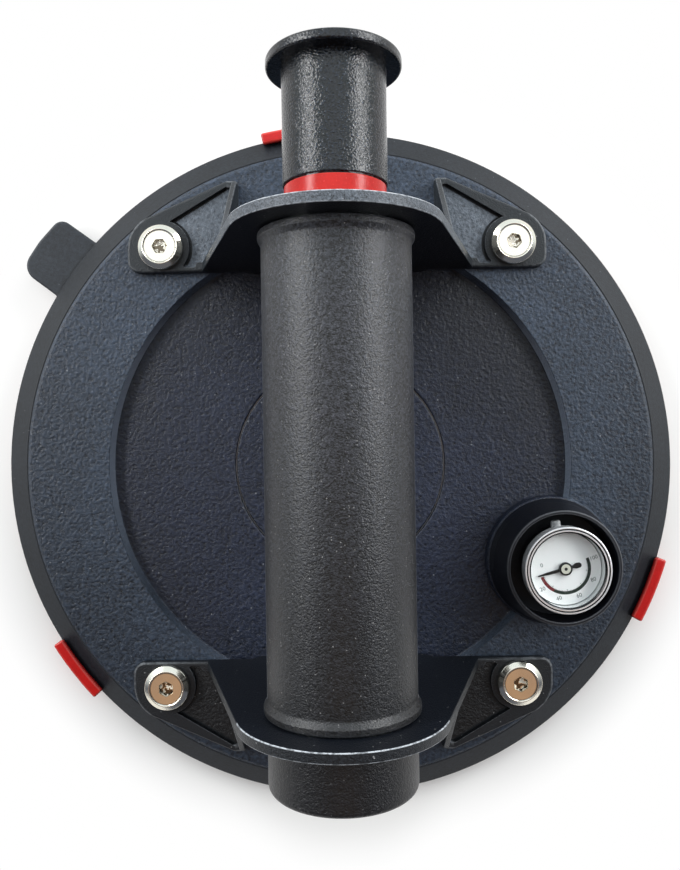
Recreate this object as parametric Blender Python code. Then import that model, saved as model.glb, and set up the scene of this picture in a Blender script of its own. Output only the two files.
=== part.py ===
"""Hand vacuum cup with a pump in its handle and a vacuum gauge.

A rubber pad carries a moulded shell. Two moulded brackets stand on the shell and hold a tubular
grip. The pump barrel runs through the grip: a sprung plunger slides out of its upper end, and the
end cap on its lower end leads the air from the pad through a valve into the barrel.

Units are metres. +Z is up, +Y runs along the handle towards the plunger, and the origin is the
centre of the flat underside of the pad cover.
"""
import math

import bmesh
import bpy
from mathutils import Matrix, Vector

# Clearances and edges
SEAT_GAP = 0.0003
SLIDE_GAP = 0.0003
EDGE = 0.0008
OVERCUT = 0.0010

# Pad cover
COVER_THICKNESS = 0.0020
COVER_EDGE_INSET = 0.0014
HOOK_COUNT = 3
HOOK_ANGLE = math.radians(97.1)
HOOK_LENGTH = 0.0187
HOOK_THICKNESS = 0.0015
HOOK_CORNER = 0.0006
HOOK_REACH = 0.0024
HOOK_ROOT = 0.0050

# Rubber pad
PAD_RADIUS = 0.1016
RIM_HEIGHT = 0.0039
CHAMBER_DEPTH = 0.0013
WEB_THICKNESS = 0.0016
SEAL_LIP_WIDTH = 0.0110
SEAL_LIP_SLOPE = 0.0010
LIP_GROOVE_OFFSET = 0.0046
LIP_GROOVE_HALF = 0.0012
LIP_GROOVE_DEPTH = 0.0009
BAND_WIDTH = 0.0073
BAND_RISE = 0.0047
TAB_ANGLE = math.radians(142.8)
TAB_ROOT_WIDTH = 0.0205
TAB_TIP_WIDTH = 0.0170
TAB_LENGTH = 0.0133
TAB_THICKNESS = 0.0026
TAB_LIFT = 0.0010
TAB_OVERLAP = 0.0030
TAB_CORNER = 0.0040

# Backing plate and shell
PLATE_THICKNESS = 0.0015
SKIRT_WIDTH = 0.0056
SHELL_FLOOR = 0.0012
RING_RISE = 0.0032
RECESS_SLOPE = 0.0050
SLOPE_EASE = 0.22
SLOPE_EASE_RISE = 0.0004
CENTRE_RADIUS = 0.0316
CENTRE_GROOVE = 0.0007
BOSS_RISE = 0.0012

# Brackets
WALL_FACE = 0.0580
WALL_THICKNESS = 0.0026
WALL_EYE_RADIUS = 0.0262
WALL_BASE_HALF = 0.0410
TONGUE_HALF = 0.0243
TONGUE_CLEARANCE = 0.0012
FOOT_THICKNESS = 0.0025
FOOT_CORNER = 0.0045
FOOT_BOSS_RADIUS = 0.0102
POCKET_DEPTH = 0.0014
POCKET_RADIUS = 0.0085
POCKET_RIM = 0.0034
RIB_THICKNESS = 0.0024
RIB_REACH = 0.0244
RIB_TOP = 0.0425
RIB_END_CORNERS = (0.0010, 0.0015)

# Bracket screws and inserts
SCREW_INSET = 0.0494
SCREW_SETBACK = 0.0046
SCREW_RADIUS = 0.0024
SCREW_HEAD_RADIUS = 0.0066
SCREW_HEAD_HEIGHT = 0.0026
SCREW_RIM_HEIGHT = 0.0012
SCREW_TIP_CHAMFER = 0.0005
SCREW_FLAT_RADIUS = 0.0045
SOCKET_RADIUS = 0.0022
SOCKET_DEPTH = 0.0016
INSERT_WALL = 0.0008
INSERT_DEPTH = 0.0031

# Handle
AXIS_HEIGHT = 0.0565
GRIP_RADIUS = 0.0183
GRIP_WALL = 0.0015
GRIP_FLARE = 0.0010
GRIP_FLARE_LENGTH = 0.0060
BARREL_WALL = 0.0015
BARREL_FLANGE = 0.0012
BARREL_FLANGE_THICKNESS = 0.0015
BARREL_TAIL = 0.0054
CAP_LENGTH = 0.0153
CAP_END_WALL = 0.0035
CAP_CORNER = 0.0014
CHAMBER_RADIUS = 0.0120

# Plunger
PLUNGER_TRAVEL = 0.0345
PLUNGER_RADIUS = 0.0128
PLUNGER_WALL = 0.0013
PLUNGER_EDGE = 0.0003
BAND_RECESS = 0.0003
TUBE_WALL = 0.0015
SLEEVE_START = 0.0690
FLANGE_RADIUS = 0.0166
FLANGE_THICKNESS = 0.0026
BAND_LENGTH = 0.0112
BUSH_LENGTH = 0.0144
PISTON_LENGTH = 0.0117
PISTON_NECK = 0.0092
PISTON_BOSS_RADIUS = 0.0090
PISTON_BOSS = 0.0040
PISTON_SEAL_WIDTH = 0.0034
PISTON_SEAL_DEPTH = 0.0030

# Return spring
SPRING_RADIUS = 0.0124
SPRING_WIRE = 0.0008
SPRING_TURNS = 10

# Inlet valve
SEAT_THICKNESS = 0.0040
PORT_RADIUS = 0.0024
CAGE_HEIGHT = 0.0070
CAGE_WALL = 0.0022
CAGE_TOP = 0.0015
CAGE_VENTS = 4
CAGE_VENT_RADIUS = 0.0024
CAGE_VENT_CIRCLE = 0.0077
POPPET_RADIUS = 0.0050
POPPET_THICKNESS = 0.0016
POPPET_STEM_RADIUS = 0.0015
POPPET_STEM_LENGTH = 0.0030
VALVE_SPRING_WIRE = 0.00035
VALVE_SPRING_RADIUS = 0.0030
VALVE_SPRING_TURNS = 4

# Air line from the pad to the end cap
NIPPLE_RADIUS = 0.0026
NIPPLE_BORE = 0.0012
NIPPLE_COLLAR = 0.0050
NIPPLE_COLLAR_HEIGHT = 0.0022
NIPPLE_SPIGOT = 0.0060
HOSE_WALL = 0.0017
NIPPLE_TAIL = 0.0011
PORT_BOSS_RADIUS = 0.0075
FILTER_THICKNESS = 0.0010
FILTER_RECESS = 0.0006

# Gauge
GAUGE_INSET = 0.032174
GAUGE_ANGLE = math.radians(-25.237)
GAUGE_BOSS_RADIUS = 0.0192
BOOT_HEIGHT = 0.0141
BOOT_BASE_RADIUS = 0.0188
BOOT_TOP_RADIUS = 0.0163
BOOT_KNEE_INSET = 0.0012
BOOT_KNEE_HEIGHT = 0.0031
BOOT_TAPER = 0.0004
BOOT_WALL = 0.0010
BOOT_FLOOR = 0.0025
GASKET_THICKNESS = 0.0008
GASKET_WIDTH = 0.0018
STEM_RADIUS = 0.0045
STEM_COLLAR_RADIUS = 0.0070
STEM_COLLAR_HEIGHT = 0.0021
STEM_BORE = 0.0010
CASE_RADIUS = 0.0112
CASE_WALL = 0.0007
CASE_FLOOR = 0.0012
CASE_HEIGHT = 0.0095
BEZEL_WALL = 0.0006
BEZEL_HEIGHT = 0.0042
BEZEL_LIP = 0.0009
LENS_THICKNESS = 0.0007
DIAL_THICKNESS = 0.0004
DIAL_DEPTH = 0.0019
MOVEMENT_RADIUS = 0.0058
MOVEMENT_FOOT_RADIUS = 0.0035
MOVEMENT_HEIGHT = 0.0042
SPINDLE_RADIUS = 0.0005
COIL_RADIUS = 0.0083
COIL_TUBE = 0.0008
COIL_SWEEP = math.radians(250)
COIL_START = math.radians(136)
COIL_ROOT = math.radians(128)
PLUG_RADIUS = 0.0014
PLUG_ANGLE = math.radians(96)
PLUG_PROUD = 0.0026
NEEDLE_THICKNESS = 0.0004
NEEDLE_LENGTH = 0.0076
NEEDLE_TAIL = 0.0042
NEEDLE_HALF_WIDTH = 0.0005
NEEDLE_HUB_RADIUS = 0.0016
NEEDLE_ZERO = math.radians(195)

# Heights and radii that follow from the sizes above
PAD_BOTTOM = COVER_THICKNESS + SEAT_GAP
WEB_BOTTOM = PAD_BOTTOM + CHAMBER_DEPTH
WEB_TOP = WEB_BOTTOM + WEB_THICKNESS
PLATE_BOTTOM = WEB_TOP + SEAT_GAP
PLATE_TOP = PLATE_BOTTOM + PLATE_THICKNESS
SHELL_BOTTOM = PLATE_TOP + SEAT_GAP
RECESS_TOP = SHELL_BOTTOM + SHELL_FLOOR
RING_TOP = RECESS_TOP + RING_RISE
BOSS_TOP = RING_TOP + BOSS_RISE
FOOT_BOTTOM = RING_TOP + SEAT_GAP
FOOT_TOP = FOOT_BOTTOM + FOOT_THICKNESS
RIM_TOP = PAD_BOTTOM + RIM_HEIGHT
BAND_INNER = PAD_RADIUS - BAND_WIDTH
BAND_TOP = RIM_TOP + BAND_RISE
SHELL_RADIUS = BAND_INNER - SEAT_GAP
PLATE_RADIUS = SHELL_RADIUS - SKIRT_WIDTH - SEAT_GAP
WALL_BACK = WALL_FACE + WALL_THICKNESS
RIB_APEX = WALL_BACK + RIB_REACH
SCREW_X = PAD_RADIUS - SCREW_INSET
SCREW_Y = WALL_BACK + SCREW_SETBACK
FOOT_OUTER = SCREW_X + FOOT_BOSS_RADIUS
GAUGE_X = (PAD_RADIUS - GAUGE_INSET) * math.cos(GAUGE_ANGLE)
GAUGE_Y = (PAD_RADIUS - GAUGE_INSET) * math.sin(GAUGE_ANGLE)
RECESS_RADIUS = math.hypot(WALL_BACK, TONGUE_HALF) + TONGUE_CLEARANCE + RECESS_SLOPE / 2
BARREL_OUTER = GRIP_RADIUS - GRIP_WALL - SEAT_GAP
BARREL_INNER = BARREL_OUTER - BARREL_WALL
BARREL_END = WALL_BACK + BARREL_TAIL
BARREL_HEAD = WALL_BACK + SEAT_GAP + BARREL_FLANGE_THICKNESS
FLANGE_FACE = BARREL_HEAD + SEAT_GAP + PLUNGER_TRAVEL
SLEEVE_END = FLANGE_FACE + FLANGE_THICKNESS
BUSH_BORE = PLUNGER_RADIUS + SLIDE_GAP
BUSH_INNER_END = BARREL_HEAD - BUSH_LENGTH
PISTON_TOP = BUSH_INNER_END - SEAT_GAP
PISTON_BOTTOM = PISTON_TOP - PISTON_LENGTH
PISTON_RADIUS = BARREL_INNER - SLIDE_GAP - SEAT_GAP
CAP_TOP = -(WALL_BACK + SEAT_GAP)
CAP_BOTTOM = CAP_TOP - CAP_LENGTH
CAP_SHOULDER = -(BARREL_END + SEAT_GAP)
CAP_CHAMBER_END = CAP_BOTTOM + CAP_END_WALL
LINE_Y = (CAP_SHOULDER + CAP_CHAMBER_END) / 2
SEAT_BOTTOM = -BARREL_END
SEAT_TOP = SEAT_BOTTOM + SEAT_THICKNESS
CAGE_BOTTOM = SEAT_TOP + SEAT_GAP
CAGE_END = CAGE_BOTTOM + CAGE_HEIGHT
BOOT_BOTTOM = BOSS_TOP + SEAT_GAP
BOOT_TOP = BOOT_BOTTOM + BOOT_HEIGHT
GASKET_BOTTOM = BOOT_BOTTOM + BOOT_FLOOR + SEAT_GAP
COLLAR_BOTTOM = GASKET_BOTTOM + GASKET_THICKNESS + SEAT_GAP
COLLAR_TOP = COLLAR_BOTTOM + STEM_COLLAR_HEIGHT
CASE_BOTTOM = COLLAR_TOP + SEAT_GAP
CASE_TOP = CASE_BOTTOM + CASE_HEIGHT
LENS_BOTTOM = CASE_TOP + SEAT_GAP
LENS_TOP = LENS_BOTTOM + LENS_THICKNESS
BEZEL_TOP = LENS_TOP + SEAT_GAP + BEZEL_WALL
DIAL_TOP = CASE_TOP - DIAL_DEPTH
NEEDLE_BOTTOM = DIAL_TOP + SEAT_GAP
PLUG_HEIGHT = CASE_BOTTOM + CASE_FLOOR + PLUG_RADIUS + 2 * SEAT_GAP

# Lean of the bracket flanks, which touch the eye round the grip
FLANK_LEAN = (
    math.pi / 2
    - math.atan2(AXIS_HEIGHT - FOOT_BOTTOM, WALL_BASE_HALF)
    - math.asin(WALL_EYE_RADIUS / math.hypot(WALL_BASE_HALF, AXIS_HEIGHT - FOOT_BOTTOM))
)
RIB_OUTER = WALL_BASE_HALF - (RIB_TOP - FOOT_BOTTOM) * math.tan(FLANK_LEAN)
RIB_INNER = RIB_OUTER - RIB_THICKNESS

# Facets round each kind of piece
PAD_SIDES = 56
HANDLE_SIDES = 28
INNER_SIDES = 20
SCREW_SIDES = 14
SMALL_SIDES = 12
EYE_STEPS = 16
SPRING_STEPS = 8
SPRING_SIDES = 4


def clear_scene():
    """Start from an empty scene."""
    for old in list(bpy.data.objects):
        bpy.data.objects.remove(old, do_unlink=True)


def finish(name, colour, roughness, metallic=0.0):
    """One Principled material for one piece."""
    made = bpy.data.materials.new(name + "_finish")
    made.use_nodes = True
    shader = made.node_tree.nodes["Principled BSDF"]
    shader.inputs["Base Color"].default_value = (*colour, 1.0)
    shader.inputs["Roughness"].default_value = roughness
    shader.inputs["Metallic"].default_value = metallic
    made.diffuse_color = (*colour, 1.0)
    return made


BLACK_RUBBER = ((0.028, 0.031, 0.037), 0.75)
BLACK_MOULDING = ((0.035, 0.040, 0.048), 0.60)
BLACK_COAT = ((0.070, 0.072, 0.075), 0.55, 0.2)
BLACK_GLOSS = ((0.020, 0.021, 0.022), 0.25)
RED_PLASTIC = ((0.75, 0.04, 0.03), 0.40)
PLAIN_STEEL = ((0.50, 0.50, 0.50), 0.35, 1.0)
NICKEL = ((0.80, 0.78, 0.72), 0.22, 1.0)
BRASS = ((0.70, 0.52, 0.25), 0.30, 1.0)
ALUMINIUM = ((0.72, 0.73, 0.74), 0.30, 1.0)
WHITE_PLASTIC = ((0.85, 0.85, 0.83), 0.50)
CLEAR_PLASTIC = ((0.90, 0.93, 0.93), 0.05)
FELT = ((0.60, 0.58, 0.52), 0.90)


def empty(name, location, rotation=(0.0, 0.0, 0.0), parent=None):
    """A frame that pieces hang from."""
    made = bpy.data.objects.new(name, None)
    bpy.context.collection.objects.link(made)
    made.location = location
    made.rotation_euler = rotation
    made.parent = parent
    return made


def piece(name, form, look, parent=None):
    """An object with its own mesh and material, from a bmesh that is used up."""
    bmesh.ops.remove_doubles(form, verts=form.verts, dist=1e-6)
    bmesh.ops.recalc_face_normals(form, faces=form.faces)
    mesh = bpy.data.meshes.new(name)
    form.to_mesh(mesh)
    form.free()
    mesh.shade_smooth()
    mesh.set_sharp_from_angle(angle=math.radians(35))
    mesh.materials.append(finish(name, *look))
    made = bpy.data.objects.new(name, mesh)
    bpy.context.collection.objects.link(made)
    made.parent = parent
    return made


def guide(name, form, parent=None):
    """A shape that only adds to or cuts another piece."""
    made = piece(name, form, BLACK_MOULDING, parent)
    made.hide_render = True
    made.display_type = "WIRE"
    return made


def boolean(target, other, operation):
    """Add or cut one shape with the exact solver."""
    step = target.modifiers.new(other.name, "BOOLEAN")
    step.operation = operation
    step.object = other
    step.solver = "EXACT"


def cut(target, *others):
    for other in others:
        boolean(target, other, "DIFFERENCE")


def add(target, *others):
    for other in others:
        boolean(target, other, "UNION")


def rounded(corners, steps=3):
    """A closed outline from (x, y, radius) corners, each radius drawn as an arc."""
    points = []
    count = len(corners)
    for index, (x, y, radius) in enumerate(corners):
        corner = Vector((x, y))
        if radius <= 0.0:
            points.append((x, y))
            continue
        before = Vector(corners[index - 1][:2]) - corner
        after = Vector(corners[(index + 1) % count][:2]) - corner
        half = before.angle(after) / 2
        reach = min(radius / math.tan(half), 0.49 * before.length, 0.49 * after.length)
        bend = reach * math.tan(half)
        middle = corner + (before.normalized() + after.normalized()).normalized() * bend / math.sin(half)
        first = corner + before.normalized() * reach
        last = corner + after.normalized() * reach
        turn = (first - middle).angle_signed(last - middle)
        points.append(tuple(first))
        for step in range(1, steps):
            swing = Matrix.Rotation(-turn * step / steps, 2)
            points.append(tuple(middle + swing @ (first - middle)))
        points.append(tuple(last))
    return points


def arc(centre_x, centre_y, radius, start, end, steps):
    """Points along a circular arc, both ends included."""
    points = []
    for step in range(steps + 1):
        angle = start + (end - start) * step / steps
        points.append((centre_x + radius * math.cos(angle), centre_y + radius * math.sin(angle)))
    return points


def revolve(profile, sides, angle=2 * math.pi, start=0.0):
    """A solid of revolution about Z from a closed (radius, height) outline."""
    form = bmesh.new()
    verts = [form.verts.new((radius, 0.0, height)) for radius, height in profile]
    edges = []
    for index, vert in enumerate(verts):
        ahead = verts[(index + 1) % len(verts)]
        if vert.co.x > 0.0 or ahead.co.x > 0.0:
            edges.append(form.edges.new((vert, ahead)))
    bmesh.ops.rotate(form, verts=verts, matrix=Matrix.Rotation(start, 3, "Z"))
    whole = angle > 2 * math.pi - 1e-6
    ends = []
    if not whole:
        ends = [form.faces.new(verts)]
        copy = bmesh.ops.duplicate(form, geom=verts + edges + ends)
        turned = [item for item in copy["geom"] if isinstance(item, bmesh.types.BMVert)]
        bmesh.ops.rotate(form, verts=turned, matrix=Matrix.Rotation(angle, 3, "Z"))
    bmesh.ops.spin(
        form,
        geom=verts + edges,
        cent=(0.0, 0.0, 0.0),
        axis=(0.0, 0.0, 1.0),
        angle=angle,
        steps=sides,
        use_merge=whole,
    )
    bmesh.ops.remove_doubles(form, verts=form.verts, dist=1e-7)
    return form


def disc(radius, bottom, top, sides, bevel=0.0):
    """A round plate, its upper edge chamfered by bevel."""
    profile = [(0.0, bottom), (radius, bottom)]
    if bevel > 0.0:
        profile += [(radius, top - bevel), (radius - bevel, top)]
    else:
        profile += [(radius, top)]
    profile += [(0.0, top)]
    return revolve(profile, sides)


def ring(inner, outer, bottom, top, sides):
    """A plain tube or washer."""
    return revolve([(inner, bottom), (outer, bottom), (outer, top), (inner, top)], sides)


def prism(outline, bottom, top):
    """An outline in the XY plane, raised from bottom to top."""
    form = bmesh.new()
    base = form.faces.new([form.verts.new((x, y, bottom)) for x, y in outline])
    lifted = bmesh.ops.extrude_face_region(form, geom=[base])
    tops = [item for item in lifted["geom"] if isinstance(item, bmesh.types.BMVert)]
    bmesh.ops.translate(form, verts=tops, vec=(0.0, 0.0, top - bottom))
    return form


def moved(form, offset):
    bmesh.ops.translate(form, verts=form.verts, vec=offset)
    return form


def turned(form, angle, axis):
    bmesh.ops.rotate(form, verts=form.verts, matrix=Matrix.Rotation(angle, 3, axis))
    return form


def swapped(form, rows):
    """The form with its axes exchanged exactly, so that flush faces stay flush."""
    bmesh.ops.transform(form, matrix=Matrix(rows).to_4x4(), verts=form.verts)
    return form


def mirrored_pair(form):
    """The form and its reflection across the YZ plane."""
    copy = bmesh.ops.duplicate(form, geom=form.verts[:] + form.edges[:] + form.faces[:])
    verts = [item for item in copy["geom"] if isinstance(item, bmesh.types.BMVert)]
    faces = [item for item in copy["geom"] if isinstance(item, bmesh.types.BMFace)]
    bmesh.ops.scale(form, verts=verts, vec=(-1.0, 1.0, 1.0))
    bmesh.ops.reverse_faces(form, faces=faces)
    return form


def merged(forms):
    """Several separate solids in one bmesh."""
    whole = bmesh.new()
    for form in forms:
        mesh = bpy.data.meshes.new("part_of_group")
        form.to_mesh(mesh)
        form.free()
        whole.from_mesh(mesh)
        bpy.data.meshes.remove(mesh)
    return whole


def swept(points, radius, sides):
    """A round tube along a list of points, closed at both ends."""
    form = bmesh.new()
    rings = []
    count = len(points)
    side = (Vector(points[1]) - Vector(points[0])).orthogonal()
    for index, point in enumerate(points):
        back = Vector(points[max(index - 1, 0)])
        ahead = Vector(points[min(index + 1, count - 1)])
        along = (ahead - back).normalized()
        side = (side - along * side.dot(along)).normalized()
        up = along.cross(side)
        loop = []
        for corner in range(sides):
            angle = 2 * math.pi * corner / sides
            offset = side * math.cos(angle) * radius + up * math.sin(angle) * radius
            loop.append(form.verts.new(Vector(point) + offset))
        rings.append(loop)
    for first, second in zip(rings, rings[1:]):
        for corner in range(sides):
            ahead = (corner + 1) % sides
            form.faces.new((first[corner], first[ahead], second[ahead], second[corner]))
    form.faces.new(rings[0][::-1])
    form.faces.new(rings[-1])
    return form


def coil(radius, wire, bottom, top, turns):
    """A compression spring between two seats, its end turns lying nearly flat."""
    points = []
    total = turns * SPRING_STEPS
    low = bottom + wire
    high = top - wire
    rise = (high - low - 4 * wire) / (total - 2 * SPRING_STEPS)
    height = low
    for step in range(total + 1):
        angle = 2 * math.pi * step / SPRING_STEPS
        points.append((radius * math.cos(angle), radius * math.sin(angle), height))
        at_end = step < SPRING_STEPS or step >= total - SPRING_STEPS
        height += 2 * wire / SPRING_STEPS if at_end else rise
    return swept(points, wire, SPRING_SIDES)


def pad_cover():
    """Clip-on cover under the pad: a disc with three hooks that grip the rim."""
    edge = PAD_RADIUS - COVER_EDGE_INSET
    cover = piece("pad_cover", disc(edge, 0.0, COVER_THICKNESS, PAD_SIDES), RED_PLASTIC)
    inside = PAD_RADIUS + SEAT_GAP
    outside = inside + HOOK_THICKNESS
    tip = PAD_RADIUS - HOOK_REACH
    band_slope = BAND_RISE / BAND_WIDTH
    lip = RIM_TOP + HOOK_REACH * band_slope + SEAT_GAP * 2
    section = [
        (edge - HOOK_ROOT, 0.0),
        (outside, 0.0),
        (outside, lip + HOOK_THICKNESS - HOOK_CORNER),
        (outside - HOOK_CORNER, lip + HOOK_THICKNESS),
        (tip + HOOK_CORNER, lip + HOOK_THICKNESS),
        (tip, lip + HOOK_THICKNESS - HOOK_CORNER),
        (tip, lip),
        (inside, lip),
        (inside, COVER_THICKNESS),
        (edge - HOOK_ROOT, COVER_THICKNESS),
    ]
    span = HOOK_LENGTH / outside
    hooks = []
    for index in range(HOOK_COUNT):
        start = HOOK_ANGLE + 2 * math.pi * index / HOOK_COUNT - span / 2
        hooks.append(revolve(section, 4, span, start))
    add(cover, guide("cover_hooks", merged(hooks)))


def rubber_pad():
    """Moulded rubber pad: sealing lips below, a sloping rim band and the release tab."""
    lip_inner = PAD_RADIUS - SEAL_LIP_WIDTH
    groove = lip_inner + LIP_GROOVE_OFFSET
    profile = [
        (0.0, WEB_BOTTOM),
        (lip_inner - SEAL_LIP_SLOPE, WEB_BOTTOM),
        (lip_inner, PAD_BOTTOM),
        (groove - LIP_GROOVE_HALF, PAD_BOTTOM),
        (groove, PAD_BOTTOM + LIP_GROOVE_DEPTH),
        (groove + LIP_GROOVE_HALF, PAD_BOTTOM),
        (PAD_RADIUS - EDGE, PAD_BOTTOM),
        (PAD_RADIUS, PAD_BOTTOM + EDGE),
        (PAD_RADIUS, RIM_TOP - EDGE),
        (PAD_RADIUS - EDGE, RIM_TOP),
        (BAND_INNER + EDGE, BAND_TOP),
        (BAND_INNER, BAND_TOP - EDGE / 2),
        (BAND_INNER, WEB_TOP),
        (0.0, WEB_TOP),
    ]
    pad = piece("rubber_pad", revolve(profile, PAD_SIDES), BLACK_RUBBER)
    root = PAD_RADIUS - TAB_OVERLAP
    tip = PAD_RADIUS + TAB_LENGTH
    outline = rounded([
        (root, -TAB_ROOT_WIDTH / 2, 0.0),
        (PAD_RADIUS, -TAB_ROOT_WIDTH / 2, 0.0),
        (tip, -TAB_TIP_WIDTH / 2, TAB_CORNER),
        (tip, TAB_TIP_WIDTH / 2, TAB_CORNER),
        (PAD_RADIUS, TAB_ROOT_WIDTH / 2, 0.0),
        (root, TAB_ROOT_WIDTH / 2, 0.0),
    ])
    bottom = PAD_BOTTOM + TAB_LIFT
    tab = turned(prism(outline, bottom, bottom + TAB_THICKNESS), TAB_ANGLE, "Z")
    add(pad, guide("release_tab", tab))
    above = WEB_TOP + OVERCUT
    port = moved(disc(NIPPLE_BORE, 0.0, above, SMALL_SIDES), (0.0, LINE_Y, 0.0))
    tap = moved(disc(STEM_BORE, 0.0, above, SMALL_SIDES), (GAUGE_X, GAUGE_Y, 0.0))
    filter_seat = disc(PORT_RADIUS + SEAT_GAP, 0.0, WEB_BOTTOM + FILTER_RECESS, SMALL_SIDES)
    cut(pad, guide("pad_ports", merged([port, tap])))
    cut(pad, guide("filter_recess", moved(filter_seat, (0.0, LINE_Y, 0.0))))


def port_filter():
    """Felt disc that keeps dust out of the air line."""
    top = WEB_BOTTOM + FILTER_RECESS - SEAT_GAP
    form = disc(PORT_RADIUS, top - FILTER_THICKNESS, top, SMALL_SIDES)
    piece("port_filter", moved(form, (0.0, LINE_Y, 0.0)), FELT)


def backing_plate():
    """Flat steel disc between the pad and the shell."""
    form = disc(PLATE_RADIUS, PLATE_BOTTOM, PLATE_TOP, PAD_SIDES)
    plate = piece("backing_plate", form, PLAIN_STEEL)
    top = PLATE_TOP + OVERCUT
    line = moved(disc(NIPPLE_RADIUS + SEAT_GAP, 0.0, top, SMALL_SIDES), (0.0, LINE_Y, 0.0))
    tap = moved(disc(STEM_RADIUS + SEAT_GAP, 0.0, top, SMALL_SIDES), (GAUGE_X, GAUGE_Y, 0.0))
    cut(plate, guide("plate_holes", merged([line, tap])))


def pad_shell():
    """Textured top moulding: raised ring, recess, and bosses for the gauge and the air line."""
    hole = CENTRE_RADIUS + SEAT_GAP
    slope_top = RECESS_RADIUS + RECESS_SLOPE / 2
    slope_foot = RECESS_RADIUS - RECESS_SLOPE / 2
    profile = [
        (hole, SHELL_BOTTOM),
        (PLATE_RADIUS + SEAT_GAP, SHELL_BOTTOM),
        (PLATE_RADIUS + SEAT_GAP, PLATE_BOTTOM),
        (SHELL_RADIUS, PLATE_BOTTOM),
        (SHELL_RADIUS, RING_TOP - EDGE),
        (SHELL_RADIUS - EDGE, RING_TOP),
        (slope_top, RING_TOP),
        (slope_top - RECESS_SLOPE * SLOPE_EASE, RING_TOP - SLOPE_EASE_RISE),
        (slope_foot + RECESS_SLOPE * SLOPE_EASE, RECESS_TOP + SLOPE_EASE_RISE),
        (slope_foot, RECESS_TOP),
        (hole + CENTRE_GROOVE, RECESS_TOP),
        (hole, RECESS_TOP - CENTRE_GROOVE),
    ]
    shell = piece("pad_shell", revolve(profile, PAD_SIDES), BLACK_MOULDING)
    inside = SHELL_BOTTOM + SHELL_FLOOR / 2
    gauge = disc(GAUGE_BOSS_RADIUS, inside, BOSS_TOP, HANDLE_SIDES, EDGE)
    line = disc(PORT_BOSS_RADIUS, inside, BOSS_TOP, INNER_SIDES, EDGE)
    bosses = merged([moved(gauge, (GAUGE_X, GAUGE_Y, 0.0)), moved(line, (0.0, LINE_Y, 0.0))])
    add(shell, guide("shell_bosses", bosses))
    above = BOSS_TOP + OVERCUT
    below = SHELL_BOTTOM - OVERCUT
    holes = [
        moved(disc(STEM_RADIUS + SEAT_GAP, below, above, INNER_SIDES), (GAUGE_X, GAUGE_Y, 0.0)),
        moved(disc(NIPPLE_RADIUS + SEAT_GAP, below, above, SMALL_SIDES), (0.0, LINE_Y, 0.0)),
    ]
    seat = insert_outer() + SEAT_GAP
    depth = RING_TOP - INSERT_DEPTH - 2 * SEAT_GAP
    for x, y in screw_places():
        holes.append(moved(disc(seat, depth, above, SMALL_SIDES), (x, y, 0.0)))
    cut(shell, guide("shell_holes", merged(holes)))


def centre_cap():
    """Round plate that closes the middle of the shell, set off by a narrow groove."""
    form = disc(CENTRE_RADIUS, SHELL_BOTTOM, RECESS_TOP, PAD_SIDES // 2, CENTRE_GROOVE)
    piece("centre_cap", form, BLACK_MOULDING)


def screw_places():
    """Centres of the four bracket screws."""
    return [(side * SCREW_X, end * SCREW_Y) for side in (-1, 1) for end in (-1, 1)]


def insert_outer():
    return SCREW_RADIUS + SEAT_GAP + INSERT_WALL


def at_each_screw(name, form, look):
    """The same piece at all four screw places, sharing one mesh."""
    first = piece(name + "_1", form, look)
    first.location = (*screw_places()[0], 0.0)
    for number, (x, y) in enumerate(screw_places()[1:], 2):
        copy = bpy.data.objects.new(f"{name}_{number}", first.data)
        bpy.context.collection.objects.link(copy)
        copy.location = (x, y, 0.0)


def threaded_inserts():
    """Brass inserts that the bracket screws turn into."""
    top = RING_TOP - SEAT_GAP
    form = ring(SCREW_RADIUS + SEAT_GAP, insert_outer(), top - INSERT_DEPTH, top, SMALL_SIDES)
    at_each_screw("threaded_insert", form, BRASS)


def bracket_screws():
    """Four nickel-plated screws with a broad low head and a socket."""
    seat = FOOT_TOP + SEAT_GAP
    top = seat + SCREW_HEAD_HEIGHT
    tip = RING_TOP - INSERT_DEPTH
    profile = [
        (0.0, tip),
        (SCREW_RADIUS - SCREW_TIP_CHAMFER, tip),
        (SCREW_RADIUS, tip + SCREW_TIP_CHAMFER),
        (SCREW_RADIUS, seat),
        (SCREW_HEAD_RADIUS, seat),
        (SCREW_HEAD_RADIUS, seat + SCREW_RIM_HEIGHT),
        (SCREW_HEAD_RADIUS - EDGE, seat + SCREW_RIM_HEIGHT + EDGE),
        (SCREW_FLAT_RADIUS, top),
        (SOCKET_RADIUS, top),
        (SOCKET_RADIUS, top - SOCKET_DEPTH),
        (0.0, top - SOCKET_DEPTH),
    ]
    at_each_screw("bracket_screw", revolve(profile, SCREW_SIDES), NICKEL)


def wall_outline():
    """Bracket wall seen along the handle: an eye round the grip, with straight flanks to the base."""
    eye = arc(0.0, AXIS_HEIGHT, WALL_EYE_RADIUS, FLANK_LEAN, math.pi - FLANK_LEAN, EYE_STEPS)
    tongue_z = RECESS_TOP + SEAT_GAP
    step = FOOT_BOTTOM - tongue_z
    right = [
        (TONGUE_HALF, tongue_z),
        (TONGUE_HALF + step, FOOT_BOTTOM),
        (WALL_BASE_HALF, FOOT_BOTTOM),
    ]
    left = [(-x, z) for x, z in reversed(right)]
    return right + eye + left


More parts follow.
